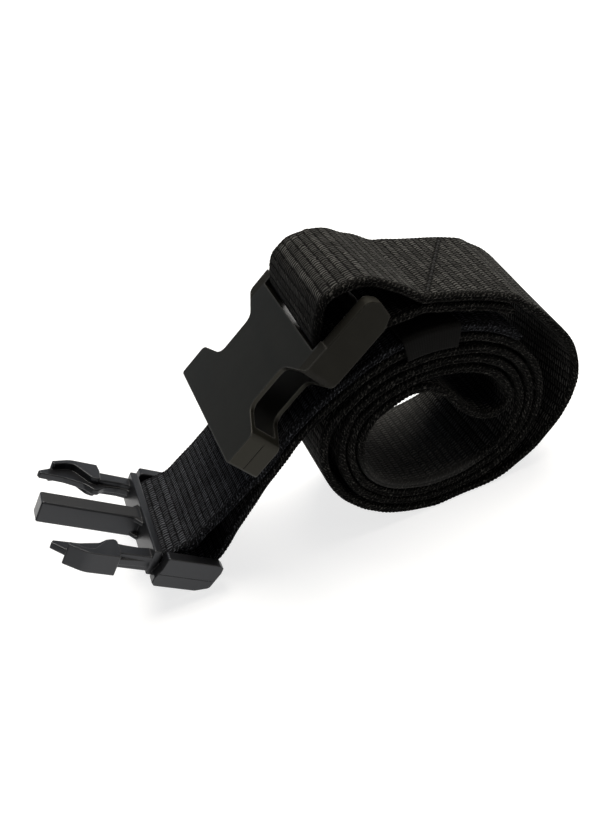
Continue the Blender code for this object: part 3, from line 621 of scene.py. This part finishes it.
def webbing_material():
    """Heavy black nylon webbing: ribs across, each one row of floats that run along the strap."""
    g = Graph("webbing_look")
    where = g.read("weave")
    s, p, y = g.split(where)
    rib = g.calc("DIVIDE", s, RIB)
    number = g.calc("FLOOR", rib)
    off = g.calc("MULTIPLY", g.calc("SUBTRACT", g.calc("FRACT", rib), 0.5), RIB)      # 0 in the rib's middle
    away = g.calc("ABSOLUTE", off)
    # every rib starts its floats at another place
    shift = g.calc("FRACT", g.calc("MULTIPLY", g.calc("SINE", g.calc("MULTIPLY", number, 12.9898)), 437.585))
    wander = g.calc("MULTIPLY", g.calc("SUBTRACT", g.noise(where, 0.14, 1.0), 0.5), 2.2)
    pull = g.calc("MULTIPLY", g.calc("SUBTRACT", g.noise(where, 0.8, 1.0), 0.5), 0.7)
    thread = g.calc("ADD", g.calc("ADD", p, g.calc("ADD", wander, pull)),
                    g.calc("ADD", g.calc("MULTIPLY", off, 0.26), g.calc("MULTIPLY", shift, FLOAT_PITCH)))
    wave = g.calc("SINE", g.calc("MULTIPLY", thread, 2 * math.pi / FLOAT_PITCH))
    wave = g.calc("ADD", g.calc("MULTIPLY", wave, 0.5), 0.5)
    # floats differ in length, and every other rib lies fuller than its neighbours
    uneven = g.noise(where, 0.55, 2.0, 0.6)
    reach = g.span(uneven, 0.3, 0.7, 1.05, 1.65, "LINEAR")
    crest = g.calc("SUBTRACT", 1.0, g.span(g.calc("DIVIDE", away, reach), 0.62, 1.0))
    odd = g.calc("MULTIPLY", g.calc("FRACT", g.calc("MULTIPLY", number, 0.5)), 2.0)
    full = g.calc("MULTIPLY", g.span(g.noise(where, 0.12, 2.0, 0.6), 0.3, 0.7, 0.72, 1.12, "LINEAR"),
                  g.span(odd, 0.0, 1.0, 1.0, 0.60, "LINEAR"))
    face = g.calc("MULTIPLY", g.calc("MULTIPLY", crest, g.span(wave, 0.36, 0.80, 0.04, 1.0)), full)
    # the selvedge's cords: uneven turns of thread
    side = g.calc("ABSOLUTE", y)
    edge = g.span(side, 22.4, 23.4)
    stray = g.calc("MULTIPLY", g.calc("SUBTRACT", g.noise(where, 0.42, 2.0, 0.7), 0.5), 4.5)
    turn = g.calc("SINE", g.calc("MULTIPLY", g.calc("ADD", g.calc("ADD", s, stray), g.calc("MULTIPLY", p, 0.9)),
                                 2 * math.pi / BEAD))
    turn = g.calc("MULTIPLY", g.span(turn, 0.0, 0.95), g.span(g.noise(where, 0.75, 2.0, 0.7), 0.40, 0.66, 0.03, 1.0))
    rows = g.calc("ADD", g.calc("MULTIPLY", face, g.calc("SUBTRACT", 1.0, edge)), g.calc("MULTIPLY", turn, edge))
    # the slanting seam draws the webbing in along its line
    ds, dy = SEAM_TO[0] - SEAM_FROM[0], SEAM_TO[1] - SEAM_FROM[1]
    span = math.hypot(ds, dy)
    cross = g.calc("ADD", g.calc("MULTIPLY", g.calc("SUBTRACT", s, SEAM_FROM[0]), dy / span),
                   g.calc("MULTIPLY", g.calc("SUBTRACT", y, SEAM_FROM[1]), -ds / span))
    sunk = g.calc("SUBTRACT", 1.0, g.span(g.calc("ABSOLUTE", cross), 0.55, 1.35))
    inside = g.calc("SUBTRACT", 1.0, g.span(g.calc("ABSOLUTE", g.calc("SUBTRACT", s, (SEAM_FROM[0] + SEAM_TO[0]) / 2)),
                                            abs(ds) / 2, abs(ds) / 2 + 1.0))
    sunk = g.calc("MULTIPLY", sunk, inside)
    rows = g.calc("MULTIPLY", rows, g.calc("SUBTRACT", 1.0, g.calc("MULTIPLY", sunk, 0.75)))
    fibre = g.noise(where, 2.2, 2.0, 0.6, stretch=(0.6, 2.6, 1.0))
    patch = g.noise(where, 0.09, 2.0, 0.55)
    height = g.calc("SUBTRACT", g.calc("ADD", g.calc("MULTIPLY", rows, 0.8), g.calc("MULTIPLY", fibre, 0.18)),
                    g.calc("MULTIPLY", sunk, 1.1))
    g.put("Normal", g.bump(height, 0.00042, 1.0))
    # painted sheen and shade: the floats and the selvedge's turns of thread are coloured light for the sheen on the
    # threads, and the gaps between them nearly black for the shade there; the weave pattern itself is real
    shade = g.calc("MULTIPLY", g.calc("ADD", g.calc("MULTIPLY", rows, 0.92), g.calc("MULTIPLY", fibre, 0.06)),
                   g.span(patch, 0.3, 0.7, 0.78, 1.15, "LINEAR"), clamp=True)
    face_tone = g.colour(shade, (0.0014, 0.0014, 0.0014), (0.0790, 0.0775, 0.0725))
    edge_tone = g.colour(shade, (0.0010, 0.0010, 0.0010), (0.0620, 0.0600, 0.0545))
    tone = g.colour(edge, face_tone, edge_tone)
    # painted shade: the front of the sewn loop, below its crease, is darkened where it lies in shade
    painted_shade_loop_front = g.calc("MULTIPLY", g.span(s, 91.0, 93.0, 1.0, 0.0), g.span(s, 52.0, 60.0))
    tone = g.colour(g.calc("MULTIPLY", painted_shade_loop_front, 0.55), tone, (0.0008, 0.0008, 0.0008))
    # painted light: a pale veil on the ply round the hole lifts the shade inside the roll
    painted_light_core_inside = g.calc("MULTIPLY", g.span(s, 745.0, 765.0), g.span(s, 800.0, 815.0, 1.0, 0.0))
    tone = g.colour(g.calc("MULTIPLY", painted_light_core_inside, 0.28), tone, (0.0800, 0.0790, 0.0760))
    # painted light: a cool tint towards the plug stands in for bluish light falling from the left
    painted_cool_light = g.span(s, 1170.0, 1270.0, 0.0, 0.9)
    tone = g.colour(painted_cool_light, tone, g.colour(shade, (0.0014, 0.0014, 0.0017), (0.0720, 0.0760, 0.0860)))
    lint = g.span(g.noise(where, 0.85, 1.0, 0.5, stretch=(1.0, 1.0, 0.0)), 0.80, 0.83)
    g.put("Base Color", g.colour(g.calc("MULTIPLY", lint, 0.4), tone, (0.12, 0.108, 0.086)))
    g.put("Roughness", g.span(shade, 0.0, 1.0, 0.90, 0.68, "LINEAR"))
    g.set(Specular_IOR_Level=0.03)
    return g.mat


def band_material():
    """Smooth black elastic: fine cords round the band, hardly any ribs."""
    g = Graph("keeper_look")
    where = g.read("weave")
    s, p, _ = g.split(where)
    cord = g.calc("SINE", g.calc("MULTIPLY", s, 2 * math.pi / 0.95))
    cord = g.calc("ADD", g.calc("MULTIPLY", cord, 0.5), 0.5)
    knit = g.calc("SINE", g.calc("MULTIPLY", g.calc("ADD", p, g.calc("MULTIPLY", cord, 0.35)), 2 * math.pi / 0.7))
    knit = g.calc("ADD", g.calc("MULTIPLY", knit, 0.5), 0.5)
    fibre = g.noise(where, 2.6, 2.0, 0.6, stretch=(2.4, 1.0, 1.0))
    height = g.calc("ADD", g.calc("MULTIPLY", cord, 0.45), g.calc("ADD", g.calc("MULTIPLY", knit, 0.25),
                    g.calc("MULTIPLY", fibre, 0.3)))
    g.put("Normal", g.bump(height, 0.00008, 1.0))
    patch = g.noise(where, 0.12, 2.0)
    shade = g.calc("MULTIPLY", height, g.span(patch, 0.3, 0.7, 0.75, 1.1, "LINEAR"), clamp=True)
    g.put("Base Color", g.colour(shade, (0.0010, 0.00095, 0.0008), (0.0027, 0.0025, 0.0021)))
    g.put("Roughness", g.span(shade, 0.0, 1.0, 0.88, 0.70, "LINEAR"))
    g.set(Specular_IOR_Level=0.08)
    return g.mat


def thread_material():
    """Black bonded sewing thread, a little shinier than the webbing."""
    g = Graph("thread_look")
    where = g.place()
    ply = g.noise(where, 2600.0, 1.0)
    g.put("Normal", g.bump(ply, 0.00008, 0.8))
    g.put("Base Color", g.colour(ply, (0.0018, 0.0018, 0.0017), (0.0065, 0.0062, 0.0058)))
    g.put("Roughness", g.span(ply, 0.3, 0.7, 0.66, 0.50, "LINEAR"))
    g.set(Specular_IOR_Level=0.18)
    return g.mat


def plastic_material(name, base, rough, gloss, tint, shaded_rough_part):
    """Moulded black acetal: fine satin grain, flow marks, dust, and edges lightened partly by rubbed wear and partly
    as a painted highlight.

    The last argument, "rails" or "prong", picks the part that is rougher than the rest and darker with painted shade."""
    g = Graph(name)
    where = g.place()
    soft, _ = g.edge_turn(0.00035)
    _, edge = g.edge_turn(0.0012)
    grain = g.noise(where, 5200.0, 2.0, 0.6)
    wave = g.noise(where, 95.0, 2.0, 0.5)
    flow = g.noise(where, 160.0, 3.0, 0.55, stretch=(1.0, 0.25, 1.0))
    scratch = g.noise(where, 900.0, 2.0, 0.7, stretch=(0.08, 1.0, 1.0))
    marks = g.span(scratch, 0.66, 0.78)
    dust = g.span(g.noise(where, 2400.0, 2.0, 0.75), 0.70, 0.80)
    height = g.calc("ADD", g.calc("MULTIPLY", grain, 0.55), g.calc("ADD", g.calc("MULTIPLY", wave, 3.0),
                    g.calc("MULTIPLY", marks, -0.25)))
    g.put("Normal", g.bump(height, 0.000022, 1.0, normal=soft))
    tone = g.span(flow, 0.25, 0.75, 0.0, 1.0, "LINEAR")
    dark = g.colour(tone, tuple(c * 0.82 for c in base), tuple(c * 1.22 for c in base))
    along, sideways, high = g.split(where)
    sideways = g.calc("ABSOLUTE", sideways)
    # painted shade: the rails, and the middle of the prong's top, are given a darker colour where shade falls, and are
    # made rougher
    if shaded_rough_part == "rails":
        inner = g.calc("MULTIPLY", g.span(along, 0.024, 0.036), g.span(sideways, 0.0262, 0.0272))
    else:
        inner = g.calc("MULTIPLY", g.span(sideways, 0.0029, 0.0033, 1.0, 0.0),
                       g.calc("MULTIPLY", g.span(along, 0.0045, 0.0060), g.span(high, 0.00435, 0.0045)))
    dark = g.colour(inner, dark, (0.0012, 0.0011, 0.0008))
    # painted highlight and wear: near the rounded edges the colour is lighter, partly rubbed plastic and partly a
    # painted highlight along the edges
    wear_and_highlight = g.colour(g.span(edge, 0.03, 0.16, 0.0, 0.70), dark, (0.045, 0.0442, 0.0420))
    g.put("Base Color", g.colour(g.calc("MULTIPLY", dust, 0.22), wear_and_highlight, (0.065, 0.063, 0.058)))
    g.put("Roughness", g.calc("ADD", g.calc("ADD", rough, g.calc("MULTIPLY", g.calc("SUBTRACT", flow, 0.5), 0.10)),
                              g.calc("ADD", g.calc("MULTIPLY", marks, 0.10), g.calc("MULTIPLY", inner, 0.40)), clamp=True))
    g.set(Specular_IOR_Level=gloss, Specular_Tint=(*tint, 1.0))
    return g.mat


def floor_material():
    g = Graph("floor_look")
    where = g.place()
    tone = g.noise(where, 3.0, 2.0)
    g.put("Base Color", g.colour(tone, (0.395, 0.395, 0.395), (0.415, 0.415, 0.415)))
    # a table of milky acrylic lit a little from below
    g.set(Roughness=0.85, Specular_IOR_Level=0.1, Emission_Color=(1.0, 1.0, 1.0, 1.0), Emission_Strength=0.76)
    return g.mat


# ---- the keeper ---------------------------------------------------------------------------------
KEEPER_ROWS = (1.35, 2.95)     # from and to, in rows of the core table
KEEPER_T = 1.0


def build_band(mat):
    """The band round ply 3 and the tail, with rounded corners and rolled rims."""
    low = smooth([tuple(p) for p in core_ply(3, range(0, 6))], 20)
    high = smooth([tuple(p) for p in core_ply(4, range(0, 6))], 20)
    air = 0.45
    reach = STRAP_T / 2 + air + KEEPER_T / 2
    wide = STRAP_W / 2 + air + KEEPER_T / 2
    corner = 1.3
    i0, i1 = int(KEEPER_ROWS[0] * 20), int(KEEPER_ROWS[1] * 20)
    rings, marks = [], []
    along = 0.0
    last = None
    for i in range(i0, i1 + 1):
        n = left_normal(low, i)
        a = Vector(low[i]) - n * reach
        b = Vector(high[i]) + n * reach
        here = Vector(high[i])
        along += (here - last).length if last is not None else 0.0
        last = here
        ring = []
        tall = (b - a).length
        # round the band: along the bottom, up the far side, along the top, down the near side
        for y0, z0, y1, z1, cy, cz, a0 in (
                (-wide + corner, 0, wide - corner, 0, wide - corner, corner, -90),
                (wide, corner, wide, tall - corner, wide - corner, tall - corner, 0),
                (wide - corner, tall, -wide + corner, tall, -wide + corner, tall - corner, 90),
                (-wide, tall - corner, -wide, corner, -wide + corner, corner, 180)):
            steps = max(1, int(math.hypot(y1 - y0, z1 - z0) / 2.2))
            for k in range(steps):
                ring.append((y0 + (y1 - y0) * k / steps, z0 + (z1 - z0) * k / steps))
            for k in range(5):
                t = math.radians(a0 + 90 * k / 5)
                ring.append((cy + corner * math.cos(t), cz + corner * math.sin(t)))
        rings.append([(y, a + n * z) for y, z in ring])
        marks.append(along)
    count = min(len(r) for r in rings)
    rings = [r[:count] if len(r) == count else [r[int(k * len(r) / count)] for k in range(count)] for r in rings]
    bm = bmesh.new()
    layer = bm.loops.layers.float_vector.new("weave")
    rows = [[bm.verts.new(world((p.x, y, p.y))) for y, p in ring] for ring in rings]
    width = [0.0]
    for (ya, pa), (yb, pb) in zip(rings[0], rings[0][1:] + rings[0][:1]):
        width.append(width[-1] + math.hypot(yb - ya, (pb - pa).length))
    for i, (a, b) in enumerate(zip(rows, rows[1:])):
        for k in range(count):
            face = bm.faces.new((a[k], b[k], b[(k + 1) % count], a[(k + 1) % count]))
            for loop, where in zip(face.loops, ((marks[i], width[k]), (marks[i + 1], width[k]),
                                                (marks[i + 1], width[k + 1]), (marks[i], width[k + 1]))):
                loop[layer] = (where[0], where[1], 0.0)
    bmesh.ops.recalc_face_normals(bm, faces=bm.faces)
    mesh = bpy.data.meshes.new("keeper")
    bm.to_mesh(mesh)
    bm.free()
    obj = bpy.data.objects.new("keeper", mesh)
    bpy.context.scene.collection.objects.link(obj)
    mesh.materials.append(mat)
    mesh.shade_smooth()
    solid = obj.modifiers.new("thickness", "SOLIDIFY")
    solid.thickness = KEEPER_T * 0.96 * MM
    solid.offset = 0.0
    solid.use_even_offset = True
    bevel = obj.modifiers.new("rims", "BEVEL")
    bevel.width = 0.3 * MM
    bevel.segments = 2
    bevel.limit_method = "ANGLE"
    bevel.angle_limit = math.radians(50)
    return obj


# ---- the stitching ------------------------------------------------------------------------------
STITCH = 3.1            # mm, needle hole to needle hole
THREAD = 0.42           # radius of the thread


def stitch_rows(route, paths, lift, mat, name):
    """Sewing thread on the webbing: each stitch rises from one needle hole and dips into the next.
    paths are lines of (mm along the strap, mm across it)."""
    bm = bmesh.new()
    sides, rings = 7, 7
    for path in paths:
        run = [0.0]
        for a, b in zip(path, path[1:]):
            run.append(run[-1] + math.hypot(b[0] - a[0], b[1] - a[1]))
        count = max(1, round(run[-1] / STITCH))
        for k in range(count):
            line = []
            for r in range(rings):
                t = r / (rings - 1)
                d = run[-1] * (k + 0.06 + 0.88 * t) / count
                s = np.interp(d, run, [q[0] for q in path])
                y = np.interp(d, run, [q[1] for q in path])
                y += 0.12 * noise.noise(Vector((s, y, 5.0)))
                height = lift * (STRAP_T / 2 - 0.62 + 0.50 * math.sin(math.pi * t) ** 0.6)
                line.append(Vector(route.point(s, y, height)))
            up = Vector(route.at(s)[3]) * (1 if lift > 0 else -1)
            last = None
            for r, p in enumerate(line):
                d = (line[min(r + 1, rings - 1)] - line[max(r - 1, 0)]).normalized()
                side = d.cross(up).normalized()
                normal = side.cross(d).normalized()
                size = THREAD * (0.55, 0.86, 1.0, 1.04, 1.0, 0.86, 0.55)[r]
                ring = [bm.verts.new((p + (side * math.cos(q) + normal * math.sin(q)) * size) * MM)
                        for q in (2 * math.pi * j / sides for j in range(sides))]
                if last:
                    for j in range(sides):
                        bm.faces.new((last[j], last[(j + 1) % sides], ring[(j + 1) % sides], ring[j]))
                else:
                    bm.faces.new(ring[::-1])
                last = ring
            bm.faces.new(last)
    bmesh.ops.recalc_face_normals(bm, faces=bm.faces)
    mesh = bpy.data.meshes.new(name)
    bm.to_mesh(mesh)
    bm.free()
    obj = bpy.data.objects.new(name, mesh)
    bpy.context.scene.collection.objects.link(obj)
    mesh.materials.append(mat)
    mesh.shade_smooth()
    return obj


# ---- both halves of the buckle ------------------------------------------------------------------
def mesh_object(name, bm, coll, mat=None):
    mesh = bpy.data.meshes.new(name)
    bm.to_mesh(mesh)
    bm.free()
    obj = bpy.data.objects.new(name, mesh)
    coll.objects.link(obj)
    if mat:
        mesh.materials.append(mat)
    return obj


def rounded(rows, per=4):
    """A closed outline from rows of x, y, corner radius."""
    out = []
    n = len(rows)
    for i, (x, y, r) in enumerate(rows):
        p = Vector((x, y))
        a = Vector(rows[i - 1][:2]) - p
        b = Vector(rows[(i + 1) % n][:2]) - p
        if r <= 0:
            out.append(p)
            continue
        half = a.angle(b) / 2
        reach = min(r / math.tan(half), a.length * 0.49, b.length * 0.49)
        r = reach * math.tan(half)
        centre = p + (a.normalized() + b.normalized()).normalized() * (r / math.sin(half))
        s = p + a.normalized() * reach - centre
        e = p + b.normalized() * reach - centre
        for k in range(per + 1):
            v = s.slerp(e, k / per) if s.length > 1e-9 else s
            out.append(centre + v.normalized() * r)
    return out


def slab(name, outline, low, high, coll, edge=0.0, segments=2, keep=None, mat=None):
    """A flat outline in x, y given thickness from low to high; its rims are rounded by edge,
    except where keep says that an edge stays sharp."""
    bm = bmesh.new()
    base = [bm.verts.new((p.x * MM, p.y * MM, low * MM)) for p in outline]
    face = bm.faces.new(base)
    bm.normal_update()
    if face.normal.z > 0:
        face.normal_flip()
    up = bmesh.ops.extrude_face_region(bm, geom=[face])
    bmesh.ops.translate(bm, vec=(0, 0, (high - low) * MM),
                        verts=[g for g in up["geom"] if isinstance(g, bmesh.types.BMVert)])
    bmesh.ops.recalc_face_normals(bm, faces=bm.faces)
    if edge > 0:
        rims = [e for e in bm.edges if abs(e.verts[0].co.z - e.verts[1].co.z) < 1e-7
                and not (keep and keep(e.verts[0].co / MM, e.verts[1].co / MM))]
        bmesh.ops.bevel(bm, geom=rims, offset=edge * MM, segments=segments, profile=0.5,
                        affect="EDGES", clamp_overlap=True)
    return mesh_object(name, bm, coll, mat)


def block(name, low, high, coll, edge=0.0, segments=2, mat=None):
    """A box between two corners (mm) with rounded edges."""
    bm = bmesh.new()
    bmesh.ops.create_cube(bm, size=1.0)
    size = [(h - l) * MM for l, h in zip(low, high)]
    mid = [(h + l) / 2 * MM for l, h in zip(low, high)]
    bmesh.ops.scale(bm, vec=size, verts=bm.verts)
    bmesh.ops.translate(bm, vec=mid, verts=bm.verts)
    if edge > 0:
        bmesh.ops.bevel(bm, geom=list(bm.edges), offset=edge * MM, segments=segments,
                        profile=0.5, affect="EDGES", clamp_overlap=True)
    return mesh_object(name, bm, coll, mat)


def side_slab(name, outline, side, inner, outer, coll, edge=0.0, segments=2, mat=None):
    """An outline in x, z given thickness along y from inner to outer, on one side."""
    low, high = (-outer, -inner) if side > 0 else (inner, outer)
    obj = slab(name, outline, low, high, coll, edge=edge, segments=segments, mat=mat)
    obj.data.transform(Matrix.Rotation(math.radians(90), 4, "X"))
    return obj


def rod(name, x, z, radius, half, coll, sides=20):
    """A round bar along y."""
    bm = bmesh.new()
    bmesh.ops.create_cone(bm, cap_ends=True, cap_tris=False, segments=sides,
                          radius1=radius * MM, radius2=radius * MM, depth=2 * half * MM)
    bmesh.ops.rotate(bm, cent=(0, 0, 0), matrix=Matrix.Rotation(math.radians(90), 3, "X"), verts=bm.verts)
    bmesh.ops.translate(bm, vec=(x * MM, 0, z * MM), verts=bm.verts)
    return mesh_object(name, bm, coll)


def boolean(obj, other, operation):
    mod = obj.modifiers.new(operation.lower(), "BOOLEAN")
    mod.operation = operation
    mod.solver = "EXACT"
    mod.object = other
    other.hide_render = True
    other.display_type = "WIRE"


SOCKET_PLAN = [
    # x,    y,    corner radius
    (0.0, 31.0, 1.2),
    (13.4, 31.0, 2.6),
    (18.0, 18.5, 4.5),
    (35.8, 18.5, 4.5),
    (41.6, 31.0, 3.0),
    (52.0, 31.0, 0.6),
    (52.0, 26.0, 0.6),
    (47.6, 26.0, 0.6),
]
RAIL_SIDE = [
    # x,    z,    corner radius
    (42.5, 6.3, 0.5),
    (42.5, -7.0, 2.0),
    (68.0, -7.0, 3.0),
    (72.9, -5.0, 2.5),
    (74.5, 1.6, 3.0),
    (72.5, 5.9, 3.2),
]
ARM_WEB = [
    # x,    y,    corner radius
    (1.8, 26.4, 0.0),
    (24.0, 29.0, 4.0),
    (34.8, 27.4, 3.0),
    (41.0, 23.6, 0.5),
    (40.2, 21.9, 0.5),
    (30.5, 21.4, 6.0),
    (22.6, 19.4, 3.0),
    (18.2, 15.6, 2.2),
    (14.0, 19.9, 4.0),
    (8.5, 20.6, 3.0),
    (4.6, 20.2, 2.0),
    (1.8, 17.0, 0.0),
]
ARM_PAD = [
    # x,    y,    corner radius
    (16.4, 26.2, 0.3),
    (17.0, 30.8, 0.6),
    (28.5, 31.0, 9.0),
    (36.2, 27.5, 0.8),
    (35.3, 25.6, 0.6),
    (30.0, 27.8, 4.0),
    (26.6, 28.0, 3.0),
    (20.6, 20.8, 3.0),
    (17.0, 19.6, 1.5),
]
ARM_NECK = [
    # x,    y,    corner radius
    (2.3, 26.6, 0.0),
    (20.0, 27.0, 0.5),
    (20.0, 20.5, 0.5),
    (14.0, 21.2, 3.0),
    (8.0, 21.4, 3.0),
    (2.3, 20.4, 0.0),
]
BLOCK_SIDE = [
    # x,    z,    corner radius
    (-0.6, 6.6, 0.8),
    (-21.6, 6.6, 0.6),
    (-23.1, 5.6, 0.5),
    (-23.1, 3.4, 0.8),
    (-20.9, -4.2, 2.2),
    (-15.5, -6.2, 3.0),
    (0.9, -6.4, 0.8),
    (2.1, -5.2, 0.6),
    (1.9, -2.4, 1.5),
    (0.2, 1.6, 3.0),
]


def finish_moulding(obj, cutters, mat):
    """Work the joins out into the mesh, tidy it and remove the shapes used."""
    graph = bpy.context.evaluated_depsgraph_get()
    mesh = bpy.data.meshes.new_from_object(obj.evaluated_get(graph))
    obj.modifiers.clear()
    obj.data = mesh
    bm = bmesh.new()
    bm.from_mesh(mesh)
    bmesh.ops.remove_doubles(bm, verts=bm.verts, dist=0.00002)
    bmesh.ops.dissolve_degenerate(bm, edges=bm.edges, dist=0.00001)
    bm.to_mesh(mesh)
    bm.free()
    mesh.materials.clear()
    mesh.materials.append(mat)
    mesh.shade_smooth()
    mesh.set_sharp_from_angle(angle=math.radians(33))
    even = obj.modifiers.new("even_shading", "WEIGHTED_NORMAL")
    even.keep_sharp = True
    for other in list(cutters.objects):
        bpy.data.objects.remove(other, do_unlink=True)


def build_socket(scene, cutters, mat):
    plan = SOCKET_PLAN + [(x, -y, r) for x, y, r in SOCKET_PLAN[::-1]]

    def sharp(a, b):
        front = abs(a.x) < 1.3 and abs(b.x) < 1.3
        rear = min(a.x, b.x) > PLATE_L - 0.7
        return front or rear

    t = BUCKLE_T / 2
    obj = slab("socket", rounded(plan, 9), -t, t, scene, edge=2.5, segments=8, keep=sharp)
    boolean(obj, block("hollow", (-5.0, -27.0, -t + PLATE_T), (43.4, 27.0, t - PLATE_T), cutters,
                       edge=0.7, segments=3), "DIFFERENCE")
    for side in (1, -1):
        boolean(obj, side_slab("rail_%d" % side, rounded(RAIL_SIDE, 9), side, SLOT_HALF, BUCKLE_W / 2 - 0.02,
                               cutters, edge=1.8, segments=6), "UNION")
    boolean(obj, rod("bar", BAR_X, 0.0, BAR_R, 27.5, cutters, 40), "UNION")
    # where the two halves of the mould meet, a fine line runs along each outer side
    for side in (1, -1):
        y0, y1 = sorted((side * 30.86, side * 31.4))
        boolean(obj, block("line", (-0.5, y0, -0.14), (13.0, y1, 0.14), cutters), "DIFFERENCE")
    finish_moulding(obj, cutters, mat)
    a = math.radians(SOCKET_TILT + LEAN)
    obj.matrix_world = (Matrix.Translation(world((0, 0, 0)))
                        @ Matrix.Rotation(-a, 4, "Y")
                        @ Matrix.Translation((-BAR_X * MM, 0, 0)))
    return obj


GUSSET = [
    # x,   y,   corner radius
    (2.5, 3.2, 0.0), (2.5, 6.6, 0.0), (4.2, 6.2, 0.5), (7.6, 3.2, 0.3),
]


def build_plug(scene, cutters, mat):
    t = BUCKLE_T / 2
    outline = rounded(BLOCK_SIDE, 8)
    obj = side_slab("plug", outline, 1, SLOT_HALF + 0.3, BUCKLE_W / 2, scene, edge=0.9, segments=5)
    boolean(obj, side_slab("far_side", outline, -1, SLOT_HALF + 0.3, BUCKLE_W / 2, cutters, edge=0.9, segments=5), "UNION")
    boolean(obj, block("front_wall", (0.7, -26.9, -4.6), (4.0, 26.9, t - 0.3), cutters, edge=0.6, segments=4), "UNION")
    boolean(obj, rod("front_bar", -5.5, 0.0, 2.25, 27.5, cutters, 32), "UNION")
    boolean(obj, block("rear_bar", (-22.4, -27.5, -4.5), (-18.9, 27.5, -1.3), cutters, edge=1.3, segments=6), "UNION")
    boolean(obj, block("centre_prong", (3.0, -3.8, -4.6), (43.2, 3.8, 4.6), cutters, edge=0.8, segments=4), "UNION")
    for side in (1, -1):
        for z0, z1 in ((-4.1, -2.6), (2.6, 4.1)):
            plan = rounded([(x, side * y, r) for x, y, r in GUSSET], 4)
            boolean(obj, slab("gusset", plan, z0, z1, cutters, edge=0.3, segments=2), "UNION")
        for label, rows, half, edge in (("web", ARM_WEB, 1.35, 0.4), ("neck", ARM_NECK, 3.3, 0.7), ("pad", ARM_PAD, 4.3, 0.8)):
            plan = rounded([(x, side * y, r) for x, y, r in rows], 8)
            boolean(obj, slab("arm_%s" % label, plan, -half, half, cutters, edge=edge, segments=4), "UNION")
        y0, y1 = sorted((side * 30.86, side * 31.4))
        boolean(obj, block("line", (-20.5, y0, -0.9), (0.8, y1, -0.62), cutters), "DIFFERENCE")
    finish_moulding(obj, cutters, mat)
    turn = Matrix([level(v) for v in plug_axes()]).transposed().to_4x4()
    obj.matrix_world = Matrix.Translation(world(PLUG_AT)) @ turn
    return obj


# ---- floor, light and camera --------------------------------------------------------------------
def build_stage():
    bm = bmesh.new()
    bmesh.ops.create_grid(bm, x_segments=2, y_segments=2, size=6.0)
    mesh = bpy.data.meshes.new("floor")
    bm.to_mesh(mesh)
    bm.free()
    floor = bpy.data.objects.new("floor", mesh)
    floor.location = (0.0, 0.0, -0.0002)
    bpy.context.scene.collection.objects.link(floor)
    mesh.materials.append(floor_material())

    def soft_box(name, at, aim, size, power, colour):
        lamp = bpy.data.lights.new(name, "AREA")
        lamp.shape = "RECTANGLE"
        lamp.size, lamp.size_y = size
        lamp.energy = power
        lamp.color = colour
        obj = bpy.data.objects.new(name, lamp)
        bpy.context.scene.collection.objects.link(obj)
        obj.location = at
        obj.rotation_mode = "QUATERNION"
        obj.rotation_quaternion = (Vector(aim) - Vector(at)).to_track_quat("-Z", "Y")
        return obj

    soft_box("overhead", (0.36, 0.34, 1.25), (0.0, 0.0, 0.04), (1.15, 1.15), 31.0, (1.0, 0.955, 0.88))
    soft_box("right", (0.80, -0.57, 0.50), (0.0, 0.0, 0.05), (0.30, 0.30), 1.0, (1.0, 0.94, 0.84))
    world = bpy.data.worlds.new("studio")
    bpy.context.scene.world = world
    world.use_nodes = True
    tree = world.node_tree
    back = tree.nodes["Background"]
    where = tree.nodes.new("ShaderNodeTexCoord")
    # a room that is lightest at the back and above
    toward = tree.nodes.new("ShaderNodeVectorMath")
    toward.operation = "DOT_PRODUCT"
    toward.inputs[1].default_value = (-0.18, 0.85, 0.50)
    tree.links.new(where.outputs["Generated"], toward.inputs[0])
    rise = tree.nodes.new("ShaderNodeMapRange")
    rise.interpolation_type = "SMOOTHSTEP"
    tree.links.new(toward.outputs["Value"], rise.inputs["Value"])
    for name, value in (("From Min", 0.05), ("From Max", 0.95), ("To Min", 0.055), ("To Max", 0.30)):
        rise.inputs[name].default_value = value
    tree.links.new(rise.outputs["Result"], back.inputs[1])
    back.inputs[0].default_value = (0.86, 0.94, 1.06, 1.0)


def build_camera():
    cam = bpy.data.cameras.new("camera")
    obj = bpy.data.objects.new("camera", cam)
    bpy.context.scene.collection.objects.link(obj)
    forward = Vector((0.1510, 0.7806, -0.6066)).normalized()
    up = Vector((0.3685, 0.5249, 0.7673))
    right = forward.cross(up).normalized()
    up = right.cross(forward).normalized()
    turn = Matrix((right, up, -forward)).transposed().to_4x4()
    turn.translation = Vector((-0.05334, -0.29941, 0.27810))
    obj.matrix_world = turn
    cam.sensor_fit = "AUTO"
    cam.sensor_width = 36.0
    cam.lens = 36.0 * 1000 / 816
    cam.clip_start = 0.01
    cam.clip_end = 50.0
    bpy.context.scene.camera = obj


def main():
    bpy.context.scene.view_settings.view_transform = "Standard"
    build_camera()
    build_stage()
    scene = bpy.context.scene.collection
    route = Route()

    webbing = build_webbing(route, webbing_material())
    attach(webbing, "root")
    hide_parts("strap_sewn_end", "strap_outer_wrap", "strap_middle", "strap_tail")

    seam = stitch_rows(route, [[SEAM_FROM, SEAM_TO]], -1, thread_material(), "seam_stitches")
    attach(seam, "root")

    band = build_band(band_material())
    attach(band, "root")
    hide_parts("tail_keeper")

    shapes = bpy.data.collections.new("shapes_joined_or_cut")
    scene.children.link(shapes)
    # painted light colour: the socket's warm olive tint and the plug's cool tint, on the same black plastic, stand in
    # for warm light from above and the right and cool light from the left
    socket = build_socket(scene, shapes, plastic_material("socket_look", (0.0048, 0.0046, 0.0034), 0.35, 0.23, (1.0, 0.95, 0.78), "rails"))
    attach(socket, "root")
    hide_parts("buckle_socket")
    plug = build_plug(scene, shapes, plastic_material("plug_look", (0.0040, 0.0041, 0.0046), 0.33, 0.50, (0.92, 0.94, 1.0), "prong"))
    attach(plug, "root")
    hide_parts("buckle_plug")


main()
